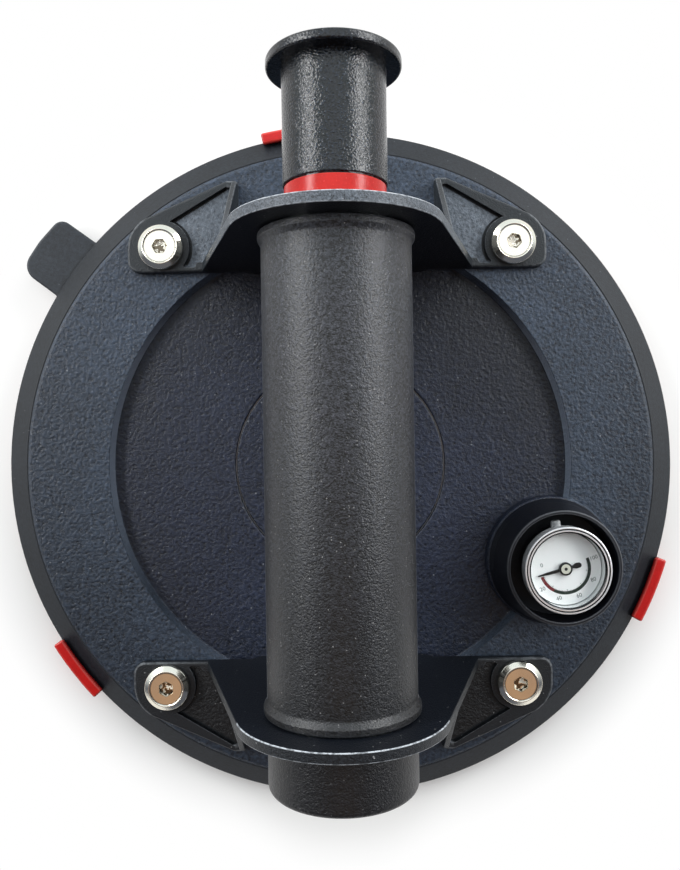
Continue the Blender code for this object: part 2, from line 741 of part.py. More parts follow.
def foot_outline():
    """Left foot of the upper bracket seen from above."""
    screw = (-SCREW_X, SCREW_Y)
    boss = arc(*screw, FOOT_BOSS_RADIUS, math.radians(118), math.radians(172), 4)
    corner = rounded([
        (-FOOT_OUTER, SCREW_Y, 0.0),
        (-FOOT_OUTER, WALL_FACE, FOOT_CORNER),
        (-RIB_INNER, WALL_FACE, 0.0),
    ])
    near, far = RIB_END_CORNERS
    apex = rounded([
        (-RIB_INNER, WALL_FACE, 0.0),
        (-RIB_INNER, RIB_APEX, near),
        (-RIB_OUTER - near, RIB_APEX, far),
        (*boss[0], 0.0),
    ])
    return corner + apex[1:-1] + boss


def pocket_outline():
    """Sunk triangle in the left foot, hollowed round the screw."""
    screw = (-SCREW_X, SCREW_Y)
    bow = arc(*screw, POCKET_RADIUS, math.radians(-33), math.radians(68), 5)
    front = WALL_BACK + SEAT_GAP
    apex_y = RIB_APEX - POCKET_RIM
    under_rib = -RIB_OUTER + EDGE
    return bow + [(-RIB_OUTER, apex_y), (under_rib, apex_y), (under_rib, front), (bow[0][0] + EDGE, front)]


def rib_form():
    """Left gusset: an upright web from the wall down to the back corner of the foot."""
    inside = FOOT_BOTTOM + (FOOT_THICKNESS - POCKET_DEPTH) / 2
    outline = [
        (WALL_FACE + WALL_THICKNESS / 2, inside),
        (RIB_APEX - EDGE, inside),
        (RIB_APEX - EDGE, FOOT_TOP + EDGE),
        (WALL_BACK, RIB_TOP),
        (WALL_FACE + WALL_THICKNESS / 2, RIB_TOP),
    ]
    form = prism(outline, -RIB_OUTER, -RIB_INNER)
    return swapped(form, ((0, 0, 1), (1, 0, 0), (0, 1, 0)))


def bracket_mesh():
    """One bracket, standing at +Y: wall, two feet with sunk pockets and two gussets."""
    wall_form = prism(wall_outline(), WALL_FACE, WALL_BACK)
    wall = guide("bracket_wall", swapped(wall_form, ((1, 0, 0), (0, 0, 1), (0, 1, 0))))
    feet = prism(foot_outline(), FOOT_BOTTOM, FOOT_TOP)
    pockets = prism(pocket_outline(), FOOT_TOP - POCKET_DEPTH, FOOT_TOP + OVERCUT)
    below = FOOT_BOTTOM - OVERCUT
    clearance = disc(SCREW_RADIUS + SEAT_GAP, below, FOOT_TOP + OVERCUT, SMALL_SIDES)
    bore = disc(BARREL_OUTER + SEAT_GAP, 0.0, WALL_BACK + OVERCUT, HANDLE_SIDES)
    bore = turned(bore, math.radians(-90), "X")
    add(wall, guide("bracket_feet", mirrored_pair(feet)))
    cut(wall, guide("foot_pockets", mirrored_pair(pockets)))
    add(wall, guide("bracket_ribs", mirrored_pair(rib_form())))
    cut(wall, guide("foot_holes", mirrored_pair(moved(clearance, (-SCREW_X, SCREW_Y, 0.0)))))
    cut(wall, guide("grip_bore", moved(bore, (0.0, 0.0, AXIS_HEIGHT))))
    ready = wall.evaluated_get(bpy.context.evaluated_depsgraph_get())
    return bpy.data.meshes.new_from_object(ready)


def brackets():
    """The same moulding carries both ends of the grip."""
    mesh = bracket_mesh()
    for name, angle in (("upper_bracket", 0.0), ("lower_bracket", math.pi)):
        stand = empty(name + "_place", (0.0, 0.0, 0.0), (0.0, 0.0, angle))
        own = mesh.copy()
        own.materials.clear()
        own.materials.append(finish(name, *BLACK_COAT))
        made = bpy.data.objects.new(name, own)
        bpy.context.collection.objects.link(made)
        made.parent = stand


def grip_tube(axis):
    """Tubular grip between the brackets, flared a little at both ends."""
    end = WALL_FACE - SEAT_GAP
    inner = GRIP_RADIUS - GRIP_WALL
    flare = GRIP_RADIUS + GRIP_FLARE
    half = [
        (GRIP_RADIUS, end - GRIP_FLARE_LENGTH),
        (flare, end - GRIP_FLARE_LENGTH / 3),
        (flare, end - EDGE),
        (flare - EDGE, end),
        (inner, end),
    ]
    profile = [(r, -z) for r, z in reversed(half)] + half
    piece("grip_tube", revolve(profile, HANDLE_SIDES), BLACK_COAT, axis)


def pump_barrel(axis):
    """Pump cylinder: flanged outside the upper wall, threaded into the end cap below."""
    profile = [
        (BARREL_INNER, -BARREL_END),
        (BARREL_OUTER, -BARREL_END),
        (BARREL_OUTER, WALL_BACK + SEAT_GAP),
        (BARREL_OUTER + BARREL_FLANGE, WALL_BACK + SEAT_GAP),
        (BARREL_OUTER + BARREL_FLANGE, BARREL_HEAD),
        (BARREL_INNER, BARREL_HEAD),
    ]
    piece("pump_barrel", revolve(profile, HANDLE_SIDES), ALUMINIUM, axis)


def guide_bush(axis):
    """Bush in the upper end of the barrel that guides the plunger and stops the piston."""
    outer = BARREL_INNER - SEAT_GAP
    profile = [
        (BUSH_BORE, BUSH_INNER_END),
        (outer, BUSH_INNER_END),
        (outer, BARREL_HEAD),
        (BUSH_BORE + EDGE, BARREL_HEAD),
        (BUSH_BORE, BARREL_HEAD - EDGE),
    ]
    piece("guide_bush", revolve(profile, HANDLE_SIDES), BLACK_GLOSS, axis)


def end_cap(axis):
    """Screwed cap on the lower end, with the air chamber in it."""
    bore = BARREL_OUTER + SEAT_GAP
    profile = rounded([
        (0.0, CAP_BOTTOM, 0.0),
        (GRIP_RADIUS, CAP_BOTTOM, CAP_CORNER),
        (GRIP_RADIUS, CAP_TOP, 0.0),
        (bore, CAP_TOP, 0.0),
        (bore, CAP_SHOULDER, 0.0),
        (CHAMBER_RADIUS, CAP_SHOULDER, 0.0),
        (CHAMBER_RADIUS, CAP_CHAMBER_END, 0.0),
        (0.0, CAP_CHAMBER_END, 0.0),
    ])
    cap = piece("end_cap", revolve(profile, HANDLE_SIDES), BLACK_COAT, axis)
    drill = disc(NIPPLE_RADIUS + SEAT_GAP, CHAMBER_RADIUS / 2, GRIP_RADIUS + OVERCUT, SMALL_SIDES)
    drill = moved(turned(drill, math.radians(-90), "X"), (0.0, 0.0, LINE_Y))
    cut(cap, guide("cap_port", drill, axis))


def valve_seat(axis):
    """Disc across the lower end of the barrel, with the air port in its middle."""
    form = ring(PORT_RADIUS, BARREL_INNER - SEAT_GAP, SEAT_BOTTOM, SEAT_TOP, INNER_SIDES)
    piece("valve_seat", form, BRASS, axis)


def valve_poppet(lift):
    """Rubber valve that lifts off its seat when the plunger draws air."""
    face = SEAT_TOP + SEAT_GAP
    profile = [
        (0.0, face - POPPET_STEM_LENGTH),
        (POPPET_STEM_RADIUS, face - POPPET_STEM_LENGTH),
        (POPPET_STEM_RADIUS, face),
        (POPPET_RADIUS, face),
        (POPPET_RADIUS, face + POPPET_THICKNESS),
        (0.0, face + POPPET_THICKNESS),
    ]
    piece("valve_poppet", revolve(profile, SCREW_SIDES), BLACK_RUBBER, lift)


def valve_cage(axis):
    """Cup over the valve that seats both springs, with vents for the air."""
    outer = BARREL_INNER - SEAT_GAP
    inner = outer - CAGE_WALL
    roof = CAGE_END - CAGE_TOP
    profile = [
        (inner, CAGE_BOTTOM),
        (outer, CAGE_BOTTOM),
        (outer, CAGE_END),
        (0.0, CAGE_END),
        (0.0, roof),
        (inner, roof),
    ]
    cage = piece("valve_cage", revolve(profile, INNER_SIDES), BRASS, axis)
    vents = []
    for index in range(CAGE_VENTS):
        angle = 2 * math.pi * index / CAGE_VENTS
        place = (CAGE_VENT_CIRCLE * math.cos(angle), CAGE_VENT_CIRCLE * math.sin(angle), 0.0)
        vent = disc(CAGE_VENT_RADIUS, roof - OVERCUT, CAGE_END + OVERCUT, SMALL_SIDES)
        vents.append(moved(vent, place))
    cut(cage, guide("cage_vents", merged(vents), axis))


def springs(axis):
    """Plunger return spring and the light spring on the valve."""
    low = CAGE_END + SEAT_GAP
    high = PISTON_BOTTOM - SEAT_GAP
    form = coil(SPRING_RADIUS, SPRING_WIRE, low, high, SPRING_TURNS)
    piece("return_spring", form, PLAIN_STEEL, axis)
    low = SEAT_TOP + SEAT_GAP + POPPET_THICKNESS + SEAT_GAP
    high = CAGE_END - CAGE_TOP - SEAT_GAP
    form = coil(VALVE_SPRING_RADIUS, VALVE_SPRING_WIRE, low, high, VALVE_SPRING_TURNS)
    piece("valve_spring", form, PLAIN_STEEL, axis)


def piston(slide):
    """Piston head with its neck, spring boss and sealing ring."""
    neck = PLUNGER_RADIUS - BAND_RECESS
    socket = PLUNGER_RADIUS - PLUNGER_WALL
    groove_bottom = PISTON_BOTTOM + (PISTON_LENGTH - PISTON_SEAL_WIDTH) / 2 - SEAT_GAP
    groove_top = groove_bottom + PISTON_SEAL_WIDTH + 2 * SEAT_GAP
    seal_outer = BARREL_INNER - SLIDE_GAP
    seal_inner = seal_outer - PISTON_SEAL_DEPTH
    groove = seal_inner - SEAT_GAP
    profile = [
        (0.0, PISTON_BOTTOM - PISTON_BOSS),
        (PISTON_BOSS_RADIUS, PISTON_BOTTOM - PISTON_BOSS),
        (PISTON_BOSS_RADIUS, PISTON_BOTTOM),
        (PISTON_RADIUS, PISTON_BOTTOM),
        (PISTON_RADIUS, groove_bottom),
        (groove, groove_bottom),
        (groove, groove_top),
        (PISTON_RADIUS, groove_top),
        (PISTON_RADIUS, PISTON_TOP),
        (neck, PISTON_TOP),
        (neck, PISTON_TOP + PISTON_NECK),
        (socket, PISTON_TOP + PISTON_NECK),
        (socket, PISTON_TOP),
        (0.0, PISTON_TOP),
    ]
    piece("piston_head", revolve(profile, INNER_SIDES), BLACK_GLOSS, slide)
    seal = ring(seal_inner, seal_outer, groove_bottom + SEAT_GAP, groove_top - SEAT_GAP, INNER_SIDES)
    piece("piston_seal", seal, BLACK_RUBBER, slide)


def plunger(slide):
    """Inner tube, red indicator band and the black sleeve with its thumb flange."""
    bore = PLUNGER_RADIUS - PLUNGER_WALL
    core = bore - SEAT_GAP
    end_wall = FLANGE_FACE - SEAT_GAP
    tube = ring(core - TUBE_WALL, core, PISTON_TOP + SEAT_GAP, end_wall - SEAT_GAP, INNER_SIDES)
    piece("plunger_tube", tube, ALUMINIUM, slide)
    band_top = SLEEVE_START - SEAT_GAP
    band_bottom = max(band_top - BAND_LENGTH, PISTON_TOP + PISTON_NECK + SEAT_GAP)
    band = ring(bore, PLUNGER_RADIUS - BAND_RECESS, band_bottom, band_top, HANDLE_SIDES)
    piece("indicator_band", band, RED_PLASTIC, slide)
    profile = [
        (bore, SLEEVE_START),
        (PLUNGER_RADIUS - PLUNGER_EDGE, SLEEVE_START),
        (PLUNGER_RADIUS, SLEEVE_START + PLUNGER_EDGE),
        (PLUNGER_RADIUS, FLANGE_FACE - EDGE),
        (PLUNGER_RADIUS + EDGE, FLANGE_FACE),
        (FLANGE_RADIUS - EDGE, FLANGE_FACE),
        (FLANGE_RADIUS, FLANGE_FACE + EDGE),
        (FLANGE_RADIUS, SLEEVE_END - EDGE),
        (FLANGE_RADIUS - EDGE, SLEEVE_END),
        (0.0, SLEEVE_END),
        (0.0, end_wall),
        (bore, end_wall),
    ]
    piece("plunger_sleeve", revolve(profile, HANDLE_SIDES), BLACK_GLOSS, slide)


def air_line():
    """Hose from the pad to the end cap, with a nipple at each end."""
    cap_low = AXIS_HEIGHT - GRIP_RADIUS - SEAT_GAP
    pad_high = BOSS_TOP + SEAT_GAP
    inner_end = AXIS_HEIGHT - CHAMBER_RADIUS - NIPPLE_TAIL
    lower = [
        (NIPPLE_BORE, PLATE_BOTTOM),
        (NIPPLE_RADIUS, PLATE_BOTTOM),
        (NIPPLE_RADIUS, pad_high),
        (NIPPLE_COLLAR, pad_high),
        (NIPPLE_COLLAR, pad_high + NIPPLE_COLLAR_HEIGHT),
        (NIPPLE_RADIUS, pad_high + NIPPLE_COLLAR_HEIGHT),
        (NIPPLE_RADIUS, pad_high + NIPPLE_COLLAR_HEIGHT + NIPPLE_SPIGOT),
        (NIPPLE_BORE, pad_high + NIPPLE_COLLAR_HEIGHT + NIPPLE_SPIGOT),
    ]
    upper = [
        (NIPPLE_BORE, inner_end),
        (NIPPLE_RADIUS, inner_end),
        (NIPPLE_RADIUS, cap_low),
        (NIPPLE_COLLAR, cap_low),
        (NIPPLE_COLLAR, cap_low - NIPPLE_COLLAR_HEIGHT),
        (NIPPLE_RADIUS, cap_low - NIPPLE_COLLAR_HEIGHT),
        (NIPPLE_RADIUS, cap_low - NIPPLE_COLLAR_HEIGHT - NIPPLE_SPIGOT),
        (NIPPLE_BORE, cap_low - NIPPLE_COLLAR_HEIGHT - NIPPLE_SPIGOT),
    ]
    for name, profile in (("pad_nipple", lower), ("cap_nipple", upper)):
        piece(name, moved(revolve(profile, SMALL_SIDES), (0.0, LINE_Y, 0.0)), BRASS)
    inner = NIPPLE_RADIUS + SEAT_GAP
    bottom = pad_high + NIPPLE_COLLAR_HEIGHT + SEAT_GAP
    top = cap_low - NIPPLE_COLLAR_HEIGHT - SEAT_GAP
    hose = ring(inner, inner + HOSE_WALL, bottom, top, SCREW_SIDES)
    piece("air_hose", moved(hose, (0.0, LINE_Y, 0.0)), BLACK_RUBBER)


def gauge_boot(axis):
    """Rubber collar round the gauge, open at the top."""
    hole = STEM_RADIUS + SEAT_GAP
    inner = BOOT_TOP_RADIUS - BOOT_WALL
    floor = BOOT_BOTTOM + BOOT_FLOOR
    profile = [
        (hole, BOOT_BOTTOM),
        (BOOT_BASE_RADIUS, BOOT_BOTTOM),
        (BOOT_BASE_RADIUS - BOOT_KNEE_INSET, BOOT_BOTTOM + BOOT_KNEE_HEIGHT),
        (BOOT_TOP_RADIUS, BOOT_TOP - BOOT_WALL / 2),
        (BOOT_TOP_RADIUS - BOOT_WALL / 2, BOOT_TOP),
        (inner, BOOT_TOP - BOOT_WALL / 2),
        (inner + BOOT_TAPER, floor),
        (hole, floor),
    ]
    piece("gauge_boot", revolve(profile, HANDLE_SIDES), BLACK_RUBBER, axis)


def gauge_fitting(axis):
    """Threaded stem and the gasket under its collar."""
    inner = STEM_RADIUS + SEAT_GAP
    top = GASKET_BOTTOM + GASKET_THICKNESS
    gasket = ring(inner, inner + GASKET_WIDTH, GASKET_BOTTOM, top, INNER_SIDES)
    piece("gauge_gasket", gasket, BLACK_RUBBER, axis)
    profile = [
        (STEM_BORE, PLATE_BOTTOM),
        (STEM_RADIUS, PLATE_BOTTOM),
        (STEM_RADIUS, COLLAR_BOTTOM),
        (STEM_COLLAR_RADIUS, COLLAR_BOTTOM),
        (STEM_COLLAR_RADIUS, COLLAR_TOP),
        (STEM_BORE, COLLAR_TOP),
    ]
    piece("gauge_stem", revolve(profile, INNER_SIDES), BRASS, axis)


def gauge_case(axis):
    """Cup that holds the movement, with a hole for the blow-out plug."""
    inner = CASE_RADIUS - CASE_WALL
    profile = [
        (STEM_BORE, CASE_BOTTOM),
        (CASE_RADIUS, CASE_BOTTOM),
        (CASE_RADIUS, CASE_TOP),
        (inner, CASE_TOP),
        (inner, CASE_BOTTOM + CASE_FLOOR),
        (STEM_BORE, CASE_BOTTOM + CASE_FLOOR),
    ]
    case = piece("gauge_case", revolve(profile, HANDLE_SIDES), BLACK_COAT, axis)
    drill = plug_form(PLUG_RADIUS + SEAT_GAP, inner - OVERCUT, CASE_RADIUS + OVERCUT)
    cut(case, guide("plug_hole", drill, axis))


def plug_form(radius, start, end):
    """A short round bar that points outwards from the gauge axis."""
    form = turned(disc(radius, start, end, SMALL_SIDES), math.radians(90), "Y")
    return moved(turned(form, PLUG_ANGLE, "Z"), (0.0, 0.0, PLUG_HEIGHT))


def gauge_plug(axis):
    """Small clear plug in the side of the case."""
    form = plug_form(PLUG_RADIUS, CASE_RADIUS - CASE_WALL, CASE_RADIUS + PLUG_PROUD)
    piece("gauge_plug", form, CLEAR_PLASTIC, axis)


def gauge_front(axis):
    """Bezel, lens and dial plate."""
    inner = CASE_RADIUS + SEAT_GAP
    outer = inner + BEZEL_WALL
    lip = inner - BEZEL_LIP
    profile = [
        (inner, BEZEL_TOP - BEZEL_HEIGHT),
        (outer, BEZEL_TOP - BEZEL_HEIGHT),
        (outer, BEZEL_TOP - BEZEL_WALL / 2),
        (outer - BEZEL_WALL / 2, BEZEL_TOP),
        (lip, BEZEL_TOP),
        (lip, BEZEL_TOP - BEZEL_WALL),
        (inner, BEZEL_TOP - BEZEL_WALL),
    ]
    piece("gauge_bezel", revolve(profile, HANDLE_SIDES), NICKEL, axis)
    lens = disc(CASE_RADIUS, LENS_BOTTOM, LENS_TOP, HANDLE_SIDES)
    piece("gauge_lens", lens, CLEAR_PLASTIC, axis)
    hole = SPINDLE_RADIUS + SEAT_GAP
    edge = CASE_RADIUS - CASE_WALL - SEAT_GAP
    dial = ring(hole, edge, DIAL_TOP - DIAL_THICKNESS, DIAL_TOP, HANDLE_SIDES)
    piece("dial_plate", dial, WHITE_PLASTIC, axis)


def gauge_movement(axis):
    """Movement block with its spindle, and the bent pressure tube round it."""
    top = DIAL_TOP - DIAL_THICKNESS - SEAT_GAP
    floor = CASE_BOTTOM + CASE_FLOOR + SEAT_GAP
    spindle_top = DIAL_TOP + SEAT_GAP / 2
    profile = [
        (0.0, floor),
        (MOVEMENT_FOOT_RADIUS, floor),
        (MOVEMENT_FOOT_RADIUS, top - MOVEMENT_HEIGHT),
        (MOVEMENT_RADIUS, top - MOVEMENT_HEIGHT),
        (MOVEMENT_RADIUS, top),
        (SPINDLE_RADIUS, top),
        (SPINDLE_RADIUS, spindle_top),
        (0.0, spindle_top),
    ]
    piece("gauge_movement", revolve(profile, SCREW_SIDES), BRASS, axis)
    root = MOVEMENT_RADIUS + SEAT_GAP
    bend = [(root * math.cos(COIL_ROOT), root * math.sin(COIL_ROOT))]
    bend += arc(0.0, 0.0, COIL_RADIUS, COIL_START, COIL_START + COIL_SWEEP, SCREW_SIDES)
    path = [(x, y, PLUG_HEIGHT) for x, y in bend]
    piece("pressure_tube", swept(path, COIL_TUBE, SMALL_SIDES // 2), BRASS, axis)


def gauge_needle(pivot):
    """Pointer with its hub and round tail, at zero on the scale."""
    top = NEEDLE_BOTTOM + NEEDLE_THICKNESS
    half = NEEDLE_HALF_WIDTH
    tail = NEEDLE_TAIL - 2 * half
    outline = [(0.0, half), (-tail, half)]
    outline += arc(-tail, 0.0, 2 * half, math.radians(120), math.radians(240), 5)
    outline += [(-tail, -half), (0.0, -half), (NEEDLE_LENGTH, -half / 4), (NEEDLE_LENGTH, half / 4)]
    form = turned(prism(outline, NEEDLE_BOTTOM, top), NEEDLE_ZERO, "Z")
    needle = piece("gauge_needle", form, BLACK_GLOSS, pivot)
    hub = disc(NEEDLE_HUB_RADIUS, NEEDLE_BOTTOM, top + NEEDLE_THICKNESS, SMALL_SIDES)
    add(needle, guide("needle_hub", hub, pivot))


def build():
    clear_scene()
    pad_cover()
    rubber_pad()
    port_filter()
    backing_plate()
    pad_shell()
    centre_cap()
    threaded_inserts()
    bracket_screws()
    brackets()
    handle = empty("handle_axis", (0.0, 0.0, AXIS_HEIGHT), (math.radians(-90), 0.0, 0.0))
    grip_tube(handle)
    pump_barrel(handle)
    guide_bush(handle)
    end_cap(handle)
    valve_seat(handle)
    valve_cage(handle)
    springs(handle)
    valve_poppet(empty("valve_lift", (0.0, 0.0, 0.0), parent=handle))
    slide = empty("plunger_slide", (0.0, 0.0, 0.0), parent=handle)
    piston(slide)
    plunger(slide)
    air_line()
    gauge = empty("gauge_axis", (GAUGE_X, GAUGE_Y, 0.0))
    gauge_boot(gauge)
    gauge_fitting(gauge)
    gauge_case(gauge)
    gauge_plug(gauge)
    gauge_front(gauge)
    gauge_movement(gauge)
    gauge_needle(empty("needle_pivot", (0.0, 0.0, 0.0), parent=gauge))


build()
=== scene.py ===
"""Looks of a hand vacuum cup: rubber pad, moulded shell, two brackets, pump handle and gauge.

Lengths are metres in the frame of the CAD model: +Z up, +Y along the handle to the plunger.
"""
import math

import bmesh
import bpy
from mathutils import Matrix, Vector


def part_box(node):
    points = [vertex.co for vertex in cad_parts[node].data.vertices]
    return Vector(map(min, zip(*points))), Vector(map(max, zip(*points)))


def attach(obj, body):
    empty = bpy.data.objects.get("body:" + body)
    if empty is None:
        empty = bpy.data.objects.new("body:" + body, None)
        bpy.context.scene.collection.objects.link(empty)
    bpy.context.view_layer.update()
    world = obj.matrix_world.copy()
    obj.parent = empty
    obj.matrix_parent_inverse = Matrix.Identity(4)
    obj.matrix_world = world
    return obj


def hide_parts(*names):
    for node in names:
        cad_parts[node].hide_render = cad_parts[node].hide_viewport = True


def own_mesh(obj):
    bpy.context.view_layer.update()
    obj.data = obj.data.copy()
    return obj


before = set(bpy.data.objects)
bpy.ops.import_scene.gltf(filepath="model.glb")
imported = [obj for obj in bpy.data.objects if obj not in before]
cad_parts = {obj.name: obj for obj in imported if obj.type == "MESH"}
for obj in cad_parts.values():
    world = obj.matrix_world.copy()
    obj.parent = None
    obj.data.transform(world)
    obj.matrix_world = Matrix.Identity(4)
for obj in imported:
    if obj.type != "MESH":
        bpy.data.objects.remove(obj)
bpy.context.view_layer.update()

MM = 0.001
FULL = 2 * math.pi
SHARP_ANGLE = math.radians(38)
WELD = 1e-7


def span(node, axis):
    """Where a CAD node begins and ends along x, y or z."""
    return [getattr(corner, axis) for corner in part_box(node)]


# Sizes that the pieces share, read from the frame or as the CAD has them
GAP = 0.3 * MM
EDGE = 0.8 * MM
PAD_RADIUS = 101.6 * MM
PAD_BOTTOM, BAND_TOP = span("rubber_pad", "z")
RIM_TOP = PAD_BOTTOM + 3.9 * MM
BAND_INNER = PAD_RADIUS - 7.3 * MM
WEB_TOP = 5.2 * MM
PLATE_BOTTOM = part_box("backing_plate")[0].z
SHELL_BOTTOM, RECESS_TOP = span("centre_cap", "z")
RING_TOP = RECESS_TOP + 3.2 * MM
BOSS_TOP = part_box("pad_shell")[1].z
FOOT_BOTTOM = RING_TOP + GAP
FOOT_TOP = FOOT_BOTTOM + 2.5 * MM
POCKET_FLOOR = FOOT_TOP - 1.4 * MM
SCREW_TOP = FOOT_TOP + GAP + 2.6 * MM
RECESS_RADIUS = 69.0 * MM
MIDDLE_RADIUS = 31.6 * MM
WALL_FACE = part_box("upper_bracket")[0].y
WALL_BACK = WALL_FACE + 2.6 * MM
SCREW_X = 52.2 * MM
SCREW_Y = WALL_BACK + 4.6 * MM
AXIS_HEIGHT = 56.5 * MM
GRIP_RADIUS = 18.3 * MM
BARREL_OUTER = GRIP_RADIUS - 1.5 * MM - GAP
BARREL_INNER = BARREL_OUTER - 1.5 * MM
PLUNGER_RADIUS = 12.8 * MM
LINE_Y = sum(span("pad_nipple", "y")) / 2
GAUGE_X = sum(span("gauge_case", "x")) / 2
GAUGE_Y = sum(span("gauge_boot", "y")) / 2
PLUNGER_TRAVEL = 34.5 * MM
VALVE_TRAVEL = 1.2 * MM
LINE_BORE = 2.9 * MM
CASE_RADIUS = 11.2 * MM
FLANK_FOOT = 41.0 * MM
FOOT_RADIUS = 10.2 * MM
GAUGE_TURN = math.radians(18)
NEEDLE_ZERO = math.radians(195)

# Where the photograph was taken from: metres, radians and the focal length in mm
VIEW_PLACE = (1.0 * MM, 9.0 * MM, 246.5 * MM)
VIEW_TURN = (-0.0008, 0.0038, -0.0149)
FOCAL_LENGTH = 21.53

# Sides of round shapes
PAD_SIDES = 256
ROUND_SIDES = 128
SMALL_SIDES = 64

UPRIGHT = Matrix.Identity(4)
ALONG_HANDLE = Matrix.Translation((0, 0, AXIS_HEIGHT)) @ Matrix.Rotation(math.radians(-90), 4, "X")
AT_GAUGE = Matrix.Translation((GAUGE_X, GAUGE_Y, 0))
AT_LINE = Matrix.Translation((0, LINE_Y, 0))


# Node trees

def operator(operation, swapped=False):
    """A method of Value that adds one maths node."""

    def method(self, other):
        pair = (other, self) if swapped else (self, other)
        return self.graph.maths(operation, *pair)

    return method


class Value:
    """An output socket of a node tree, used in plain arithmetic."""

    def __init__(self, graph, socket):
        self.graph = graph
        self.socket = socket

    def __abs__(self):
        return self.graph.maths("ABSOLUTE", self)

    __add__ = operator("ADD")
    __sub__ = operator("SUBTRACT")
    __rsub__ = operator("SUBTRACT", swapped=True)
    __mul__ = operator("MULTIPLY")
    __truediv__ = operator("DIVIDE")
    __lt__ = operator("LESS_THAN")
    __gt__ = operator("GREATER_THAN")
    __radd__ = __add__


class Graph:
    """Adds nodes to one tree."""

    def __init__(self, tree):
        self.tree = tree

    def add(self, kind, settings=(), sockets=()):
        """A node whose settings are set first and whose sockets then get values or links."""
        made = self.tree.nodes.new(kind)
        for key, value in dict(settings).items():
            setattr(made, key, value)
        for key, value in dict(sockets).items():
            if isinstance(value, Value):
                self.tree.links.new(value.socket, made.inputs[key])
            else:
                made.inputs[key].default_value = value
        return made

    def out(self, kind, settings=(), sockets=(), output=0):
        return Value(self, self.add(kind, settings, sockets).outputs[output])

    def maths(self, operation, *values):
        return self.out("ShaderNodeMath", {"operation": operation}, dict(enumerate(values)))

    def vector(self, operation, *values, output=0):
        return self.out("ShaderNodeVectorMath", {"operation": operation}, dict(enumerate(values)), output)

    def combine(self, x, y, z):
        return self.out("ShaderNodeCombineXYZ", (), {0: x, 1: y, 2: z})

    def split(self, vector):
        made = self.add("ShaderNodeSeparateXYZ", (), {0: vector})
        return [Value(self, made.outputs[index]) for index in range(3)]

    def larger(self, first, second):
        return self.maths("MAXIMUM", first, second)

    def within(self, value, low, high):
        """1 where the value lies between low and high, else 0."""
        return (value > low) * (value < high)

    def distance(self, x, y):
        return self.maths("SQRT", x * x + y * y)

    def ramp(self, value, low, high, first=0.0, last=1.0):
        """The value carried from low..high to first..last, smoothly and held at both ends."""
        settings = {"interpolation_type": "SMOOTHSTEP"}
        return self.out("ShaderNodeMapRange", settings, {0: value, 1: low, 2: high, 3: first, 4: last})

    def mix(self, factor, first, last):
        return self.out("ShaderNodeMix", {"data_type": "RGBA"}, {0: factor, 6: first, 7: last}, 2)

    def blend(self, factor, first, last):
        """A shader between two others."""
        return self.out("ShaderNodeMixShader", (), {0: factor, 1: first, 2: last})

    def rays(self):
        """Whether a ray is seen by the camera, in a glossy surface or through a clear one."""
        path = self.add("ShaderNodeLightPath")
        return [Value(self, path.outputs[f"Is {kind} Ray"]) for kind in ("Camera", "Glossy", "Transmission")]


class Finish(Graph):
    """A surface material: patterns are read from the object's own coordinates, their sizes in mm."""

    def __init__(self, name):
        self.material = bpy.data.materials.new(name)
        self.material.use_nodes = True
        super().__init__(self.material.node_tree)
        self.tree.nodes.clear()
        self.place = self.out("ShaderNodeTexCoord", output=3)

    def about_gauge(self):
        """The place measured from the gauge's axis, and the distance from that axis."""
        x, y, z = self.split(self.vector("SUBTRACT", self.place, (GAUGE_X, GAUGE_Y, 0.0)))
        return x, y, z, self.distance(x, y)

    def noise(self, size, detail=2.0, where=None, rough=0.5):
        sockets = {"Vector": where or self.place, "Scale": 1 / (size * MM), "Detail": detail}
        return self.out("ShaderNodeTexNoise", (), {**sockets, "Roughness": rough})

    def cells(self, size, feature="F1", output="Distance"):
        sockets = {"Vector": self.place, "Scale": 1 / (size * MM)}
        return self.out("ShaderNodeTexVoronoi", {"feature": feature}, sockets, output)

    def specks(self, size, reach, share):
        """Sparse bright dots of dust: a share of the cells gets one each."""
        dot = self.cells(size) < reach
        pick = self.split(self.cells(size, output="Color"))[0] < share
        return dot * pick

    def worn_edge(self, low=1.0, high=1.0, start=14 * MM, end=75 * MM):
        """Painted highlight on the outer edges of the piece, weighted from low to high between two heights.
        """
        edge = self.out("ShaderNodeAttribute", {"attribute_name": "outer_edge"}, output=2)
        return edge * self.ramp(self.split(self.place)[2], start, end, low, high)

    def wave(self, size, strength, detail=2.0, rough=0.5):
        """Noise that swings about zero by up to half its strength."""
        return (self.noise(size, detail, rough=rough) - 0.5) * strength

    def rim(self, start, strength):
        """Grows towards the outline that the surface turns away at; finishes paint a highlight there by it.
        """
        facing = self.out("ShaderNodeLayerWeight", (), {"Blend": 0.5}, 1)
        return self.ramp(facing, start, 1.0, 0.0, strength)

    def shaded(self, colour, factor):
        """A colour made lighter or darker by a varying factor."""
        plain = colour if isinstance(colour, Value) else colour[:3]
        return self.out("ShaderNodeVectorMath", {"operation": "SCALE"}, {0: plain, "Scale": factor})

    def surface(self, colour, rough, height=None, depth=0.0, **more):
        """The principled shader of the material, its bumps depth mm high."""
        sockets = {"Base Color": colour, "Roughness": rough}
        if height is not None:
            bump = {"Height": height, "Distance": depth * MM, "Strength": 1.0}
            sockets["Normal"] = self.out("ShaderNodeBump", (), bump)
        sockets.update({key.replace("_", " "): value for key, value in more.items()})
        return self.end(self.out("ShaderNodeBsdfPrincipled", (), sockets))

    def end(self, shader):
        self.add("ShaderNodeOutputMaterial", (), {"Surface": shader})
        return self.material


def rgb(red, green, blue):
    """A linear colour from values of 0 to 255 as they show on a screen."""
    parts = []
    for part in (red, green, blue):
        part /= 255
        parts.append(part / 12.92 if part <= 0.04045 else ((part + 0.055) / 1.055) ** 2.4)
    return (*parts, 1.0)


# Finishes

